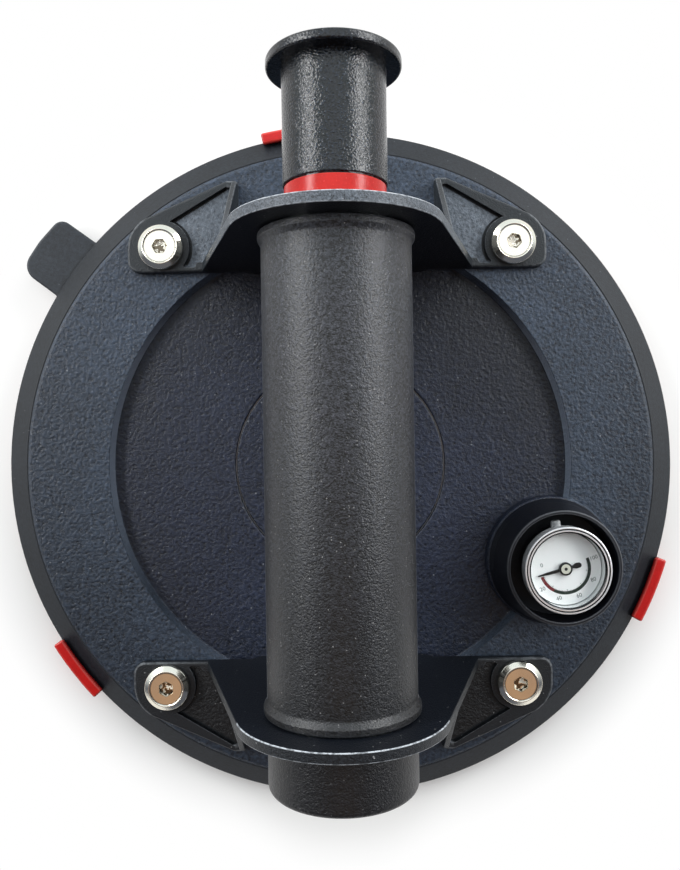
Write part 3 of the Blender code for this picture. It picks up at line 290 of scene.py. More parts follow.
def leather_grain(look):
    """Height of a fine leather grain about zero: soft pebbles broken up by short creases."""
    pebbles = look.cells(0.95, "SMOOTH_F1") - 0.36
    return pebbles * 0.8 + look.wave(1.0, 1.5, 4.0, 0.68)


def leather_moulding():
    """Black moulding with a fine leather grain, darker in the recess, partly as painted shade; painted shade
    deepens the recess at its foot, on its upper side under the bracket and in the groove round the middle
    cap, and painted light brightens the ring next to the recess and on its upper side, and the recess step.
    """
    look = Finish("leather_moulding")
    x, y, z = look.split(look.place)
    radius = look.distance(x, y)
    ring = look.ramp(radius, RECESS_RADIUS - 1.0 * MM, RECESS_RADIUS + 0.1 * MM)
    step = look.within(radius, RECESS_RADIUS - 0.9 * MM, RECESS_RADIUS + 0.5 * MM)
    step = step * (z > RECESS_TOP + 0.2 * MM) * (z < RING_TOP - 0.1 * MM)
    grain = leather_grain(look)
    fine = look.wave(0.75, 2.4)
    # Painted light: the ring is lighter next to the recess and on its upper, +Y side.
    painted_ring_light = look.ramp(radius, RECESS_RADIUS, 94 * MM, 1.3, 0.9)
    painted_ring_light = painted_ring_light * look.ramp(y, 10 * MM, 60 * MM, 1.0, 1.4) * ring
    # Painted shade: the recess darkens towards its foot, on its upper right side under the upper bracket,
    # and in the groove round the middle cap.
    painted_recess_shade = look.ramp(radius, 45 * MM, RECESS_RADIUS, 1.05, 0.8)
    painted_recess_shade = painted_recess_shade * look.ramp(y + x * 0.35, 10 * MM, 58 * MM, 1.0, 0.5)
    seam = look.within(radius, MIDDLE_RADIUS - 0.3 * MM, MIDDLE_RADIUS + 0.3 * MM)
    painted_recess_shade = painted_recess_shade * (1.0 - seam * 0.8) * (1.0 - ring)
    tone = (1.0 + grain * 1.1 + fine * 0.9 + look.wave(24, 0.8, 3.0)) * (painted_ring_light + painted_recess_shade)
    # The recess colour is darker and bluer than the ring's, partly as painted shade.
    colour = look.mix(ring, rgb(27, 33, 48), rgb(39, 48, 60))
    dust = look.specks(2.0, 0.12, 0.16)
    base = look.mix(dust * 0.35, look.shaded(colour, tone), rgb(160, 164, 168))
    # Painted light on the recess step, strongest between y = 0 and 30 mm and fading towards both ends.
    lit = look.ramp(y, -45 * MM, 0.0, 0.1, 1.0) * look.ramp(y, 30 * MM, 55 * MM, 1.0, 0.1)
    base = look.mix(step * lit, base, rgb(160, 170, 186))
    return look.surface(base, 0.38 + fine * 0.2, grain + fine * 0.2, 0.18, Specular_IOR_Level=0.42)


def soft_rubber(name, colour, dust=0.4, rough=0.52, edges=(0.2, 0.2), tab=0.0):
    """Smooth black rubber with faint clouds, a little dust and painted highlights on its outer edges,
    lighter by the tab's share beyond the rim.
    """
    look = Finish(name)
    fine = look.wave(0.45, 1.0)
    tone = 1.0 + look.wave(11, 0.7, 4.0) + look.wave(0.9, 1.6, 2.0) + fine * 0.5
    if tab:
        x, y, _ = look.split(look.place)
        tone = tone * (1.0 + look.ramp(look.distance(x, y), PAD_RADIUS, PAD_RADIUS + MM) * tab)
    # Dust specks and painted edge highlights lighten the rubber.
    lighter = look.larger(look.specks(2.0, 0.08, 0.10) * dust, look.worn_edge(*edges))
    base = look.mix(lighter, look.shaded(colour, tone), rgb(132, 135, 140))
    return look.surface(base, rough + fine * 0.12, fine, 0.05, Specular_IOR_Level=0.40)


def sand(look, size):
    """A sandy skin about zero: grains of two sizes."""
    return look.wave(size, 1.6, 3.0, 0.62) + look.wave(size * 0.55, 1.2, 1.0)


def powder_coat(name, colour, tint, rough, dust, edges, outline):
    """Powder coat: a sandy skin with white dust on it, darker towards the tail of the handle as painted
    shade, with painted highlights on its edges and at its outline.
    """
    look = Finish(name)
    skin = sand(look, 0.80)
    patches = look.noise(22, 3.0)
    # Painted shade: darker towards the tail of the handle, lighter towards the plunger.
    wear_and_painted_shade = look.ramp(look.split(look.place)[1], -55 * MM, 45 * MM, 0.30, 1.25)
    tone = look.larger(1.0 + skin * 4.2, 0.05) * wear_and_painted_shade
    specks = look.specks(1.0, 0.16, 0.22) * look.noise(0.5, 1.0) * dust
    base = look.mix(specks, look.shaded(look.mix(patches, colour, tint), tone), rgb(205, 203, 200))
    # Painted highlights on the outer edges and towards the outline.
    edge = look.larger(look.worn_edge(*edges), look.rim(0.90, outline))
    base = look.mix(edge, base, rgb(168, 174, 182))
    return look.surface(base, rough + skin * 0.10, skin, 0.09, Specular_IOR_Level=0.62)


def bracket_coat():
    """Bracket finish: satin frames, sandy wall edges, leather grain on the floors of the pockets; painted
    light makes the upper bracket, its high parts and its pocket floors lighter than the lower one, painted
    shade darkens the wall faces, and painted highlights run along the outer edges.
    """
    look = Finish("bracket_coat")
    x, y, z = look.split(look.place)
    pocket = look.within(z, POCKET_FLOOR - 0.1 * MM, POCKET_FLOOR + 0.1 * MM)
    grain = leather_grain(look)
    skin = sand(look, 0.6)
    # Painted light: the upper bracket takes a lighter colour than the lower one and its high parts a light
    # grey; the sandy tone also grows stronger with height.
    upper = look.ramp(y, -30 * MM, 30 * MM)
    high = look.ramp(z, 20 * MM, 50 * MM)
    frame_tone = look.larger(1.0 + skin * (0.5 + high * 1.4), 0.1)
    along = look.mix(high * upper, look.mix(upper, rgb(24, 27, 31), rgb(33, 38, 42)), rgb(84, 90, 97))
    # Painted shade: faces whose normal points along the handle, the faces of the walls, go dark navy.
    across = look.split(look.out("ShaderNodeNewGeometry", output=1))[1]
    wall = look.ramp(abs(across), 0.80, 0.96)
    floor_tone = look.larger(1.0 + grain * 1.3, 0.1)
    # Painted light: the pocket floors of the upper bracket are light grey, those of the lower one near
    # black.
    sunk = look.mix(upper, rgb(17, 18, 20), rgb(94, 102, 111))
    plain = look.mix(wall, look.shaded(along, frame_tone), rgb(9, 14, 22))
    base = look.mix(pocket, plain, look.shaded(sunk, floor_tone))
    dust = look.specks(1.6, 0.12, 0.15) * 0.4
    # Painted highlights along the outer edges, broken up by noise and stronger higher up.
    edge = look.worn_edge(0.22, 1.0) * look.ramp(look.noise(1.2, 3.0), 0.40, 0.56, 0.35, 1.0)
    base = look.mix(edge, look.mix(dust, base, rgb(190, 190, 190)), rgb(214, 220, 226))
    height = grain * pocket + skin * 0.5
    return look.surface(base, 0.42 + skin * 0.1, height, 0.16, Specular_IOR_Level=0.42)


def gloss_moulding():
    """Glossy black with a fine hammered skin that breaks its highlights into sparks; the skin also raises
    the base colour in specks as painted sparkle, and a painted highlight lightens it towards the outline.
    """
    look = Finish("gloss_moulding")
    skin = look.wave(0.55, 1.0, 1.0) + look.wave(0.36, 0.8, 1.0)
    scratch = look.noise(0.3, 1.0, look.vector("MULTIPLY", look.place, (1.0, 0.06, 1.0)))
    # Painted sparkle: the skin raises the base colour in specks; the rim term paints a highlight towards the
    # outline.
    tone = look.larger(1.0 + look.wave(9, 0.8, 3.0) + skin * 8.0, 0.05)
    base = look.mix(look.rim(0.84, 0.6), look.shaded(rgb(13, 17, 23), tone), rgb(200, 202, 206))
    return look.surface(base, 0.13 + scratch * 0.06, skin, 0.125, Specular_IOR_Level=0.55)


def red_moulding(name, colour, rough):
    """Red moulding with paler outer edges, a painted highlight."""
    look = Finish(name)
    fine = look.wave(0.5, 1.0)
    base = look.shaded(colour, 1.0 + look.wave(5, 0.5, 3.0) + fine * 0.3)
    # Painted highlight along the outer edges.
    base = look.mix(look.worn_edge(0.4, 0.4), base, rgb(236, 120, 108))
    return look.surface(base, rough + fine * 0.12, fine, 0.03, Specular_IOR_Level=0.35)


def bright_metal(name, colour, rough, brushed=None, wear=0.10):
    """Plated or bare metal with fine marks; brushed gives the stretch of the marks."""
    look = Finish(name)
    where = look.vector("MULTIPLY", look.place, brushed) if brushed else look.place
    marks = look.noise(0.35, 3.0, where)
    base = look.shaded(colour, 0.90 + look.noise(3.5, 3.0) * 0.16)
    return look.surface(base, rough + marks * wear, marks, 0.006, Metallic=1.0)


def screw_plate():
    """Warm nickel plate; painted shade gives the socket dark patches and a thin dark line round the sunk
    centre, and the other socket facets are painted bright as glints.
    """
    look = Finish("screw_plate")
    x, y, z = look.split(look.place)
    radius = look.distance(abs(x) - SCREW_X, abs(y) - SCREW_Y)
    marks = look.noise(0.35, 3.0)
    cloud = look.noise(1.8, 3.0)
    groove = look.within(radius, 4.45 * MM, 4.8 * MM)
    socket = (radius < 2.2 * MM) * (z < SCREW_TOP - 0.45 * MM)
    facets = look.noise(1.1, 1.0)
    # Painted shade in the socket and along the edge of the sunk centre; painted glints on the other socket
    # facets, which lose their metal.
    painted_socket_and_groove_shade = look.larger(socket * (facets > 0.5) * 0.9, groove * 0.5)
    sparkle = socket * (facets < 0.45)
    base = look.mix(painted_socket_and_groove_shade, look.shaded(rgb(250, 244, 228), 0.94 + cloud * 0.12), rgb(74, 58, 34))
    return look.surface(base, 0.10 + marks * 0.10, marks, 0.008, Metallic=1.0 - sparkle)


def bezel_plate():
    """Bright bezel whose turned groove and inner lip are painted dark, as shade and dark reflection."""
    look = Finish("bezel_plate")
    radius = look.about_gauge()[3]
    marks = look.noise(0.3, 2.0)
    # Painted shade and dark reflection in the turned groove and on the inner lip.
    dark = look.larger(look.within(radius, 11.2 * MM, 11.6 * MM), radius < 10.8 * MM)
    base = look.mix(dark, rgb(246, 247, 248), rgb(22, 23, 25))
    return look.surface(base, 0.16 + marks * 0.12, marks, 0.006, Metallic=0.55 - dark * 0.5)


def cup_finish():
    """Gauge case: satin black outside, white inside round the dial."""
    look = Finish("cup_finish")
    _, _, z, radius = look.about_gauge()
    white = (radius < 10.7 * MM) * (z > 26 * MM)
    skin = look.noise(0.4, 2.0)
    base = look.mix(white, look.shaded(rgb(16, 17, 19), 0.6 + skin * 0.8), rgb(236, 240, 239))
    return look.surface(base, 0.45 + skin * 0.1, skin, 0.03)


def printed_dial():
    """White dial face with a printed scale arc, red at its low end and green over the rest."""
    look = Finish("printed_dial")
    x, y, _, radius = look.about_gauge()
    angle = look.maths("MODULO", look.maths("ARCTAN2", y, x) + FULL, FULL)
    swept = look.maths("MODULO", angle - math.radians(185) + FULL, FULL)
    first, change, last = math.radians(15), math.radians(58), math.radians(200)
    on_arc = look.within(radius, 6.4 * MM, 7.3 * MM)
    red = on_arc * (swept > first) * (swept < change)
    green = on_arc * (swept > change) * (swept < last)
    wear_and_painted_shade = look.noise(0.5, 2.0)
    paper = look.mix(look.noise(1.2, 2.0), rgb(248, 255, 252), rgb(255, 255, 255))
    scale = look.mix(red * (0.8 + wear_and_painted_shade * 0.4), paper, rgb(110, 14, 22))
    return look.surface(look.mix(green * (0.85 + wear_and_painted_shade * 0.3), scale, rgb(10, 36, 24)), 0.45)


def pointer_finish():
    """Black needle whose hub has a bright face with a dark pin."""
    look = Finish("pointer_finish")
    _, _, z, radius = look.about_gauge()
    face = look.within(radius, 0.45 * MM, 1.35 * MM) * (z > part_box("gauge_needle")[0].z + 0.5 * MM)
    skin = look.wave(0.4, 1.0)
    base = look.mix(face, look.shaded(rgb(14, 18, 18), 1.0 + skin), rgb(214, 216, 200))
    return look.surface(base, 0.35 + skin * 0.1, skin, 0.01)


def clear_plastic(name, body, edge):
    """Thin clear plastic, seen mostly by its reflections and its rim; the white base grows more opaque
    towards the outline as a painted rim highlight.
    """
    look = Finish(name)
    # Painted rim highlight: the white base shows more towards the outline.
    facing = look.out("ShaderNodeLayerWeight", (), {"Blend": 0.35}, 1)
    haze = look.noise(2.5, 2.0)
    base = look.mix(haze, rgb(236, 240, 240), rgb(248, 250, 250))
    return look.surface(base, 0.03 + haze * 0.04, Alpha=body + facing * edge)


def felt_disc():
    look = Finish("felt_disc")
    fibres = look.noise(0.25, 4.0, look.vector("MULTIPLY", look.place, (1.0, 3.0, 1.0)))
    return look.surface(look.mix(fibres, rgb(176, 170, 155), rgb(215, 210, 198)), 0.95, fibres, 0.1)


# The edge weights passed below set painted edge highlights; the last number of the two coats sets a painted
# highlight at the outline.
LEATHER = leather_moulding()
PAD_RUBBER = soft_rubber("pad_rubber_finish", rgb(25, 29, 34), edges=(0.06, 0.06), tab=0.7)
BOOT_RUBBER = soft_rubber("boot_rubber_finish", rgb(10, 13, 22), 0.25, 0.50, (0.0, 0.45, 20 * MM, 26 * MM))
HOSE_RUBBER = soft_rubber("hose_rubber_finish", rgb(24, 25, 27), 0.2)
COAT = bracket_coat()
CUP = cup_finish()
GRIP_COAT = powder_coat("grip_coat", rgb(38, 42, 46), rgb(31, 29, 34), 0.42, 0.5, (0.12, 0.12), 0.35)
CAP_COAT = powder_coat("cap_coat", rgb(23, 22, 27), rgb(17, 16, 21), 0.45, 0.25, (0.0, 0.0), 0.25)
GLOSS = gloss_moulding()
RED_COVER = red_moulding("red_cover_finish", rgb(190, 22, 20), 0.34)
RED_BAND = red_moulding("red_band_finish", rgb(192, 30, 22), 0.25)
NICKEL = screw_plate()
CHROME = bezel_plate()
STEEL = bright_metal("spring_steel", rgb(190, 190, 192), 0.22)
PLATE_STEEL = bright_metal("plate_steel", rgb(186, 186, 188), 0.30, (1.0, 0.05, 1.0), 0.2)
BRASS = bright_metal("turned_brass", rgb(214, 176, 100), 0.22)
ALUMINIUM = bright_metal("drawn_aluminium", rgb(214, 216, 218), 0.24, (1.0, 0.04, 1.0), 0.2)
DIAL = printed_dial()
POINTER = pointer_finish()
LENS = clear_plastic("clear_lens", 0.0, 0.05)
CLEAR_PLUG = clear_plastic("clear_plug", 0.45, 1.4)
FELT = felt_disc()


# Shapes

def soft(corners, steps=5):
    """A closed outline from corners: (x, y) is sharp and (x, y, r) is an arc of r mm."""
    points = []
    count = len(corners)
    for index, (x, y, *radius) in enumerate(corners):
        corner = Vector((x, y))
        if not radius:
            points.append((x, y))
            continue
        before = Vector(corners[index - 1][:2]) - corner
        after = Vector(corners[(index + 1) % count][:2]) - corner
        half = before.angle(after) / 2
        reach = min(radius[0] * MM / math.tan(half), 0.49 * before.length, 0.49 * after.length)
        middle = (before.normalized() + after.normalized()).normalized() * reach / math.cos(half)
        start = before.normalized() * reach - middle
        turn = start.angle_signed(after.normalized() * reach - middle)
        for step in range(steps + 1):
            points.append(tuple(corner + middle + Matrix.Rotation(-turn * step / steps, 2) @ start))
    return points


def arc(centre, radius, start, end, steps):
    """Points along a circular arc in degrees, both ends included."""
    points = []
    for step in range(steps + 1):
        angle = math.radians(start + (end - start) * step / steps)
        points.append((centre[0] + radius * math.cos(angle), centre[1] + radius * math.sin(angle)))
    return points


def lathe(profile, sides=ROUND_SIDES, place=UPRIGHT):
    """A solid of revolution from a closed (radius, height) outline."""
    form = bmesh.new()
    rings = []
    for radius, height in profile:
        ring = []
        for side in range(sides if radius > WELD else 1):
            angle = FULL * side / sides
            spot = Vector((radius * math.cos(angle), radius * math.sin(angle), height))
            ring.append(form.verts.new(place @ spot))
        rings.append(ring)
    for first, second in zip(rings, rings[1:] + rings[:1]):
        for side in range(sides if len(first) + len(second) > 2 else 0):
            ahead = (side + 1) % sides
            corners = [first[side % len(first)], first[ahead % len(first)]]
            corners += [second[ahead % len(second)], second[side % len(second)]]
            form.faces.new(list(dict.fromkeys(corners)))
    return form


def disc(radius, low, high, place, sides=SMALL_SIDES, hole=0.0):
    """A plain round bar or ring."""
    return lathe([(hole, low), (radius, low), (radius, high), (hole, high)], sides, place)


def inset(outline, distance):
    """An anticlockwise outline moved inwards by distance."""
    result = []
    count = len(outline)
    for index in range(count):
        here = Vector(outline[index])
        first = (here - Vector(outline[index - 1])).normalized()
        second = (Vector(outline[(index + 1) % count]) - here).normalized()
        side = Vector((-first.y - second.y, first.x + second.x)).normalized()
        reach = distance / max(0.4, side.dot(Vector((-first.y, first.x))))
        result.append(tuple(here + side * reach))
    return result


def strip(path, width):
    """The outline of a band of even width on one side of an open path."""
    side = []
    for index, point in enumerate(path):
        before = Vector(path[max(index - 1, 0)])
        after = Vector(path[min(index + 1, len(path) - 1)])
        way = (after - before).normalized()
        side.append((point[0] - way.y * width, point[1] + way.x * width))
    return path + side[::-1]


def stack(outline, stations, bend=None):
    """Layers of one outline, each given as (inset, height), joined into a closed solid."""
    area = sum(a[0] * b[1] - a[1] * b[0] for a, b in zip(outline, outline[1:] + outline[:1]))
    if area < 0:
        outline = outline[::-1]
    form = bmesh.new()
    layers = []
    for distance, height in stations:
        points = inset(outline, distance) if distance else outline
        layers.append([form.verts.new(bend(x, y, height) if bend else (x, y, height)) for x, y in points])
    for low, high in zip(layers, layers[1:]):
        for index in range(len(low)):
            ahead = (index + 1) % len(low)
            form.faces.new((low[index], low[ahead], high[ahead], high[index]))
    form.faces.new(layers[0][::-1])
    form.faces.new(layers[-1])
    return form


def slab(outline, low, high, edges, bend=None, between=0, steps=4):
    """A slab of one outline, its lower and upper edges rounded by so many mm."""
    quarter = [math.pi / 2 * step / steps for step in range(steps + 1)]
    first, last = (edge * MM for edge in edges)
    stations = [(first * (1 - math.sin(angle)), low + first * (1 - math.cos(angle))) for angle in quarter]
    stations += [(0.0, low + (high - low) * (step + 1) / (between + 1)) for step in range(between)]
    for angle in quarter[::-1]:
        stations.append((last * (1 - math.sin(angle)), high - last * (1 - math.cos(angle))))
    return stack(outline, stations, bend)


def moved(form, place):
    """The form carried by a matrix; a mirroring matrix keeps its faces outwards."""
    bmesh.ops.transform(form, matrix=place, verts=form.verts)
    if place.determinant() < 0:
        bmesh.ops.reverse_faces(form, faces=form.faces)
    return form


def form_of(mesh):
    form = bmesh.new()
    form.from_mesh(mesh)
    return form


def poured(form, mesh):
    """The mesh, filled from a form that is used up."""
    form.to_mesh(mesh)
    form.free()
    return mesh


def together(*forms):
    """Several solids in one form."""
    whole = bmesh.new()
    for form in forms:
        mesh = poured(form, bpy.data.meshes.new("part_of_whole"))
        whole.from_mesh(mesh)
        bpy.data.meshes.remove(mesh)
    return whole


def both_sides(form):
    """The form and its mirror image across the YZ plane."""
    return together(form.copy(), moved(form, Matrix.Diagonal((-1, 1, 1, 1))))


def linked(name, data):
    """A new object in the scene."""
    made = bpy.data.objects.new(name, data)
    bpy.context.scene.collection.objects.link(made)
    return made


def new_object(name, form):
    return linked(name, poured(form, bpy.data.meshes.new(name)))


def result_of(made):
    """The mesh that an object's modifiers or its lettering give."""
    return bpy.data.meshes.new_from_object(made.evaluated_get(bpy.context.evaluated_depsgraph_get()))


def settle(made):
    """Turn an object's modifiers into its mesh."""
    mesh = result_of(made)
    made.modifiers.clear()
    old = made.data
    made.data = mesh
    bpy.data.meshes.remove(old)
    return made


def shaped(form, *changes):
    """The form after exact cuts and additions, each given as (operation, form)."""
    made = new_object("shape_in_work", form)
    tools = []
    for operation, other in changes:
        bmesh.ops.recalc_face_normals(other, faces=other.faces)
        tools.append(new_object("tool_in_work", other))
        step = made.modifiers.new(operation, "BOOLEAN")
        step.operation = operation
        step.object = tools[-1]
        step.solver = "EXACT"
    settle(made)
    result = form_of(made.data)
    for used in [made] + tools:
        mesh = used.data
        bpy.data.objects.remove(used)
        bpy.data.meshes.remove(mesh)
    return result


def mark_edges(mesh):
    """Store which vertices lie on a small rounded outer edge, weighted more where the edge faces +Y, as the
    strength of a painted edge highlight.
    """
    least, most, small_face = 12, 70, 6 * MM * MM
    form = form_of(mesh)
    layer = form.verts.layers.float.new("outer_edge")
    for vert in form.verts:
        bends = [math.degrees(edge.calc_face_angle_signed(0.0)) for edge in vert.link_edges]
        curved = sum(least < bend < most for bend in bends) > 1
        small = all(face.calc_area() < small_face for face in vert.link_faces)
        # Painted light: edges facing +Y get a stronger weight, so their painted highlight is brighter.
        vert[layer] = 0.45 + 0.55 * max(0.0, vert.normal.y) if curved and small else 0.0
    poured(form, mesh)


def finished(made, look, nodes=(), body="base"):
    """Smooth shading that keeps flat faces flat, a material, a body and the CAD nodes replaced."""
    mesh = made.data
    mesh.name = made.name
    mark_edges(mesh)
    mesh.shade_smooth()
    mesh.set_sharp_from_angle(angle=SHARP_ANGLE)
    even = made.modifiers.new("even_shading", "WEIGHTED_NORMAL")
    even.keep_sharp = True
    settle(made)
    made.data.materials.clear()
    made.data.materials.append(look)
    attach(made, body)
    if nodes:
        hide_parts(*nodes)
    return made


def piece(name, form, look, slot, *nodes, body="base"):
    """One piece of the object from a form that is used up."""
    bmesh.ops.remove_doubles(form, verts=form.verts, dist=WELD)
    bmesh.ops.recalc_face_normals(form, faces=form.faces)
    return finished(new_object(name, form), look, nodes, body)


def turned(name, look, slot, node, place, corners, sides=ROUND_SIDES, steps=5, body="base"):
    """A piece turned from one outline."""
    return piece(name, lathe(soft(corners, steps), sides, place), look, slot, node, body=body)


# Geometry Nodes

class Rule(Graph):
    """A Geometry Nodes tree with named number inputs that acts on a piece's mesh."""

    def __init__(self, name, inputs):
        super().__init__(bpy.data.node_groups.new(name, "GeometryNodeTree"))
        face = self.tree.interface
        face.new_socket("Geometry", in_out="INPUT", socket_type="NodeSocketGeometry")
        for key in inputs:
            face.new_socket(key, in_out="INPUT", socket_type="NodeSocketFloat")
        face.new_socket("Geometry", in_out="OUTPUT", socket_type="NodeSocketGeometry")
        source = self.tree.nodes.new("NodeGroupInput")
        self.given = {socket.name: Value(self, socket) for socket in source.outputs if socket.name}
        self.inputs = inputs

    def close(self, geometry, look):
        """End the tree: instances made real, material set."""
        real = self.out("GeometryNodeRealizeInstances", (), {0: geometry})
        final = self.out("GeometryNodeSetMaterial", (), {"Geometry": real, "Material": look})
        self.add("NodeGroupOutput", (), {0: final})

    def apply(self, made):
        """Run the tree on an object and keep the result as its plain mesh."""
        step = made.modifiers.new(self.tree.name, "NODES")
        step.node_group = self.tree
        for socket in self.tree.interface.items_tree:
            if socket.in_out == "INPUT" and socket.name in self.inputs:
                step[socket.identifier] = float(self.inputs[socket.name])
        return settle(made)


def at_four_screws(name, form, look, node, seed):
    """Copies of one small solid at the four screw places, each turned by its own angle."""
    rule = Rule(name + "_rule", {"Spacing X": 2 * SCREW_X, "Spacing Y": 2 * SCREW_Y, "Turn": FULL / 6})
    given = rule.given
    sockets = {"Size X": given["Spacing X"], "Size Y": given["Spacing Y"], "Vertices X": 2, "Vertices Y": 2}
    corners = rule.out("GeometryNodeMeshGrid", (), sockets)
    sockets = {2: 0.0, 3: given["Turn"], "Seed": seed}
    turn = rule.out("FunctionNodeRandomValue", {"data_type": "FLOAT"}, sockets, 1)
    sockets = {"Points": corners, "Instance": given["Geometry"], "Rotation": rule.combine(0.0, 0.0, turn)}
    rule.close(rule.out("GeometryNodeInstanceOnPoints", (), sockets), look)
    bmesh.ops.recalc_face_normals(form, faces=form.faces)
    nodes = [f"{node}_{number}" for number in range(1, 5)]
    return finished(rule.apply(new_object(name, form)), look, nodes)


def wound_spring(name, radius, wire, low, high, turns, node, sides=10, steps=40):
    """A compression spring along the handle, its end turns lying closed."""
    rule = Rule(name + "_rule", {"Radius": radius, "Wire": wire, "Low": low, "High": high, "Turns": turns})
    given = rule.given
    line = rule.out("GeometryNodeCurvePrimitiveLine", (), {"End": (0.0, 0.0, 1.0)})
    sockets = {"Curve": line, "Count": turns * steps + 1}
    line = rule.out("GeometryNodeResampleCurve", (), sockets)
    part = rule.out("GeometryNodeSplineParameter")
    turn = part * given["Turns"]
    last = given["Turns"] - 2.0
    pitch = (given["High"] - given["Low"] - given["Wire"] * 6.0) / last
    ends = rule.maths("MINIMUM", turn, 1.0) + rule.maths("MAXIMUM", turn - 1.0 - last, 0.0)
    middle = rule.maths("MINIMUM", rule.maths("MAXIMUM", turn - 1.0, 0.0), last)
    height = given["Low"] + given["Wire"] + ends * given["Wire"] * 2.0 + middle * pitch
    angle = turn * FULL
    spot = rule.combine(
        given["Radius"] * rule.maths("COSINE", angle),
        height,
        given["Radius"] * rule.maths("SINE", angle) + AXIS_HEIGHT,
    )
    path = rule.out("GeometryNodeSetPosition", (), {"Geometry": line, "Position": spot})
    sockets = {"Resolution": sides, "Radius": given["Wire"]}
    section = rule.out("GeometryNodeCurvePrimitiveCircle", (), sockets)
    sockets = {"Curve": path, "Profile Curve": section, "Fill Caps": True}
    rule.close(rule.out("GeometryNodeCurveToMesh", (), sockets), STEEL)
    return finished(rule.apply(new_object(name, bmesh.new())), STEEL, [node])


# Pad, cover and shell

def cover():
    """Red cover under the pad, with three hooks over its rim."""
    edge = PAD_RADIUS - 1.4 * MM
    inside = PAD_RADIUS + GAP
    outside = inside + 1.45 * MM
    tip = PAD_RADIUS - 1.7 * MM
    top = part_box("pad_cover")[1].z
    plate = lathe(soft([(0.0, 0.0), (edge, 0.0, 0.5), (edge, 2.0 * MM, 0.3), (0.0, 2.0 * MM)]), PAD_SIDES)
    section = soft([
        (edge - 5.0 * MM, 0.0), (outside, 0.0, 0.5), (outside, top, 1.0), (tip, top, 0.7),
        (tip, top - 1.5 * MM, 0.3), (inside, top - 1.5 * MM, 0.3), (inside, 1.9 * MM, 0.2),
        (edge - 5.0 * MM, 1.9 * MM),
    ])
    hooks = []
    length = 20.2 * MM
    for number in range(3):
        middle = math.radians(97.1 + 120 * number)

        def bend(radius, height, along, middle=middle):
            angle = middle + along / outside
            return (radius * math.cos(angle), radius * math.sin(angle), height)

        hooks.append(slab(section, -length / 2, length / 2, (0.6, 0.6), bend, 6))
    form = shaped(plate, ("UNION", together(*hooks)))
    piece("cover_moulding", form, RED_COVER, "red_plastic", "pad_cover")


def pad():
    """Rubber pad: sloping rim band, sealing lips below and the release tab."""
    lip = PAD_RADIUS - 11.0 * MM
    groove = lip + 4.6 * MM
    web = WEB_TOP - 1.6 * MM
    form = lathe(soft([
        (0.0, web), (lip - 1.0 * MM, web, 0.4), (lip, PAD_BOTTOM, 0.3),
        (groove - 1.2 * MM, PAD_BOTTOM, 0.3), (groove, PAD_BOTTOM + 0.9 * MM, 0.3),
        (groove + 1.2 * MM, PAD_BOTTOM, 0.3), (PAD_RADIUS, PAD_BOTTOM, 0.8),
        (PAD_RADIUS, RIM_TOP, 1.1), (BAND_INNER + 0.4 * MM, BAND_TOP, 0.3),
        (BAND_INNER, BAND_TOP - 0.1 * MM, 0.05), (BAND_INNER, WEB_TOP), (0.0, WEB_TOP),
    ]), PAD_SIDES)
    root, tip, low = PAD_RADIUS - 3.0 * MM, PAD_RADIUS + 14.1 * MM, PAD_BOTTOM + 1.0 * MM
    outline = soft([
        (root, -12.6 * MM), (PAD_RADIUS - 1.1 * MM, -12.6 * MM),
        (PAD_RADIUS - 0.5 * MM, -10.2 * MM, 1.2), (tip - 0.9 * MM, -10.0 * MM, 3.4),
        (tip, 0.0, 14.0), (tip - 0.6 * MM, 10.2 * MM, 5.0), (PAD_RADIUS - 0.5 * MM, 10.2 * MM, 1.2),
        (PAD_RADIUS - 1.1 * MM, 12.6 * MM), (root, 12.6 * MM),
    ], 8)
    tab = slab(outline, low, low + 2.6 * MM, (0.7, 0.9))
    tab = moved(tab, Matrix.Rotation(math.radians(142.8), 4, "Z"))
    above = WEB_TOP + MM
    bores = together(disc(1.2 * MM, 0.0, above, AT_LINE), disc(MM, 0.0, above, AT_GAUGE))
    seat = disc(2.7 * MM, 0.0, web + 0.6 * MM, AT_LINE)
    form = shaped(form, ("UNION", tab), ("DIFFERENCE", bores), ("DIFFERENCE", seat))
    piece("pad_rubber", form, PAD_RUBBER, "black_rubber", "rubber_pad")


def shell():
    """Grained top moulding: raised ring, sloped recess, bosses for the gauge and the air line."""
    outer = BAND_INNER - 0.1 * MM
    skirt = outer - 5.8 * MM
    hole = 31.9 * MM
    form = lathe(soft([
        (hole, SHELL_BOTTOM), (skirt, SHELL_BOTTOM), (skirt, PLATE_BOTTOM), (outer, PLATE_BOTTOM),
        (outer, RING_TOP - 0.5 * MM, 0.1), (outer - 0.9 * MM, RING_TOP, 1.0),
        (RECESS_RADIUS + 0.45 * MM, RING_TOP, 0.25), (RECESS_RADIUS - 0.45 * MM, RECESS_TOP, 0.5),
        (hole, RECESS_TOP, 0.7),
    ]), PAD_SIDES)
    inside = SHELL_BOTTOM + 0.6 * MM
    bosses = []
    for radius, place in ((19.2 * MM, AT_GAUGE), (7.5 * MM, AT_LINE)):
        profile = soft([(0.0, inside), (radius, inside), (radius, BOSS_TOP, 0.8), (0.0, BOSS_TOP)])
        bosses.append(lathe(profile, ROUND_SIDES, place))
    low, high = SHELL_BOTTOM - MM, BOSS_TOP + MM
    holes = [disc(4.8 * MM, low, high, AT_GAUGE), disc(LINE_BORE, low, high, AT_LINE)]
    for x in (-SCREW_X, SCREW_X):
        for y in (-SCREW_Y, SCREW_Y):
            place = Matrix.Translation((x, y, 0))
            holes.append(disc(3.8 * MM, RING_TOP - 3.7 * MM, high, place))
    form = shaped(form, ("UNION", together(*bosses)), ("DIFFERENCE", together(*holes)))
    piece("shell_moulding", form, LEATHER, "black_moulding", "pad_shell")


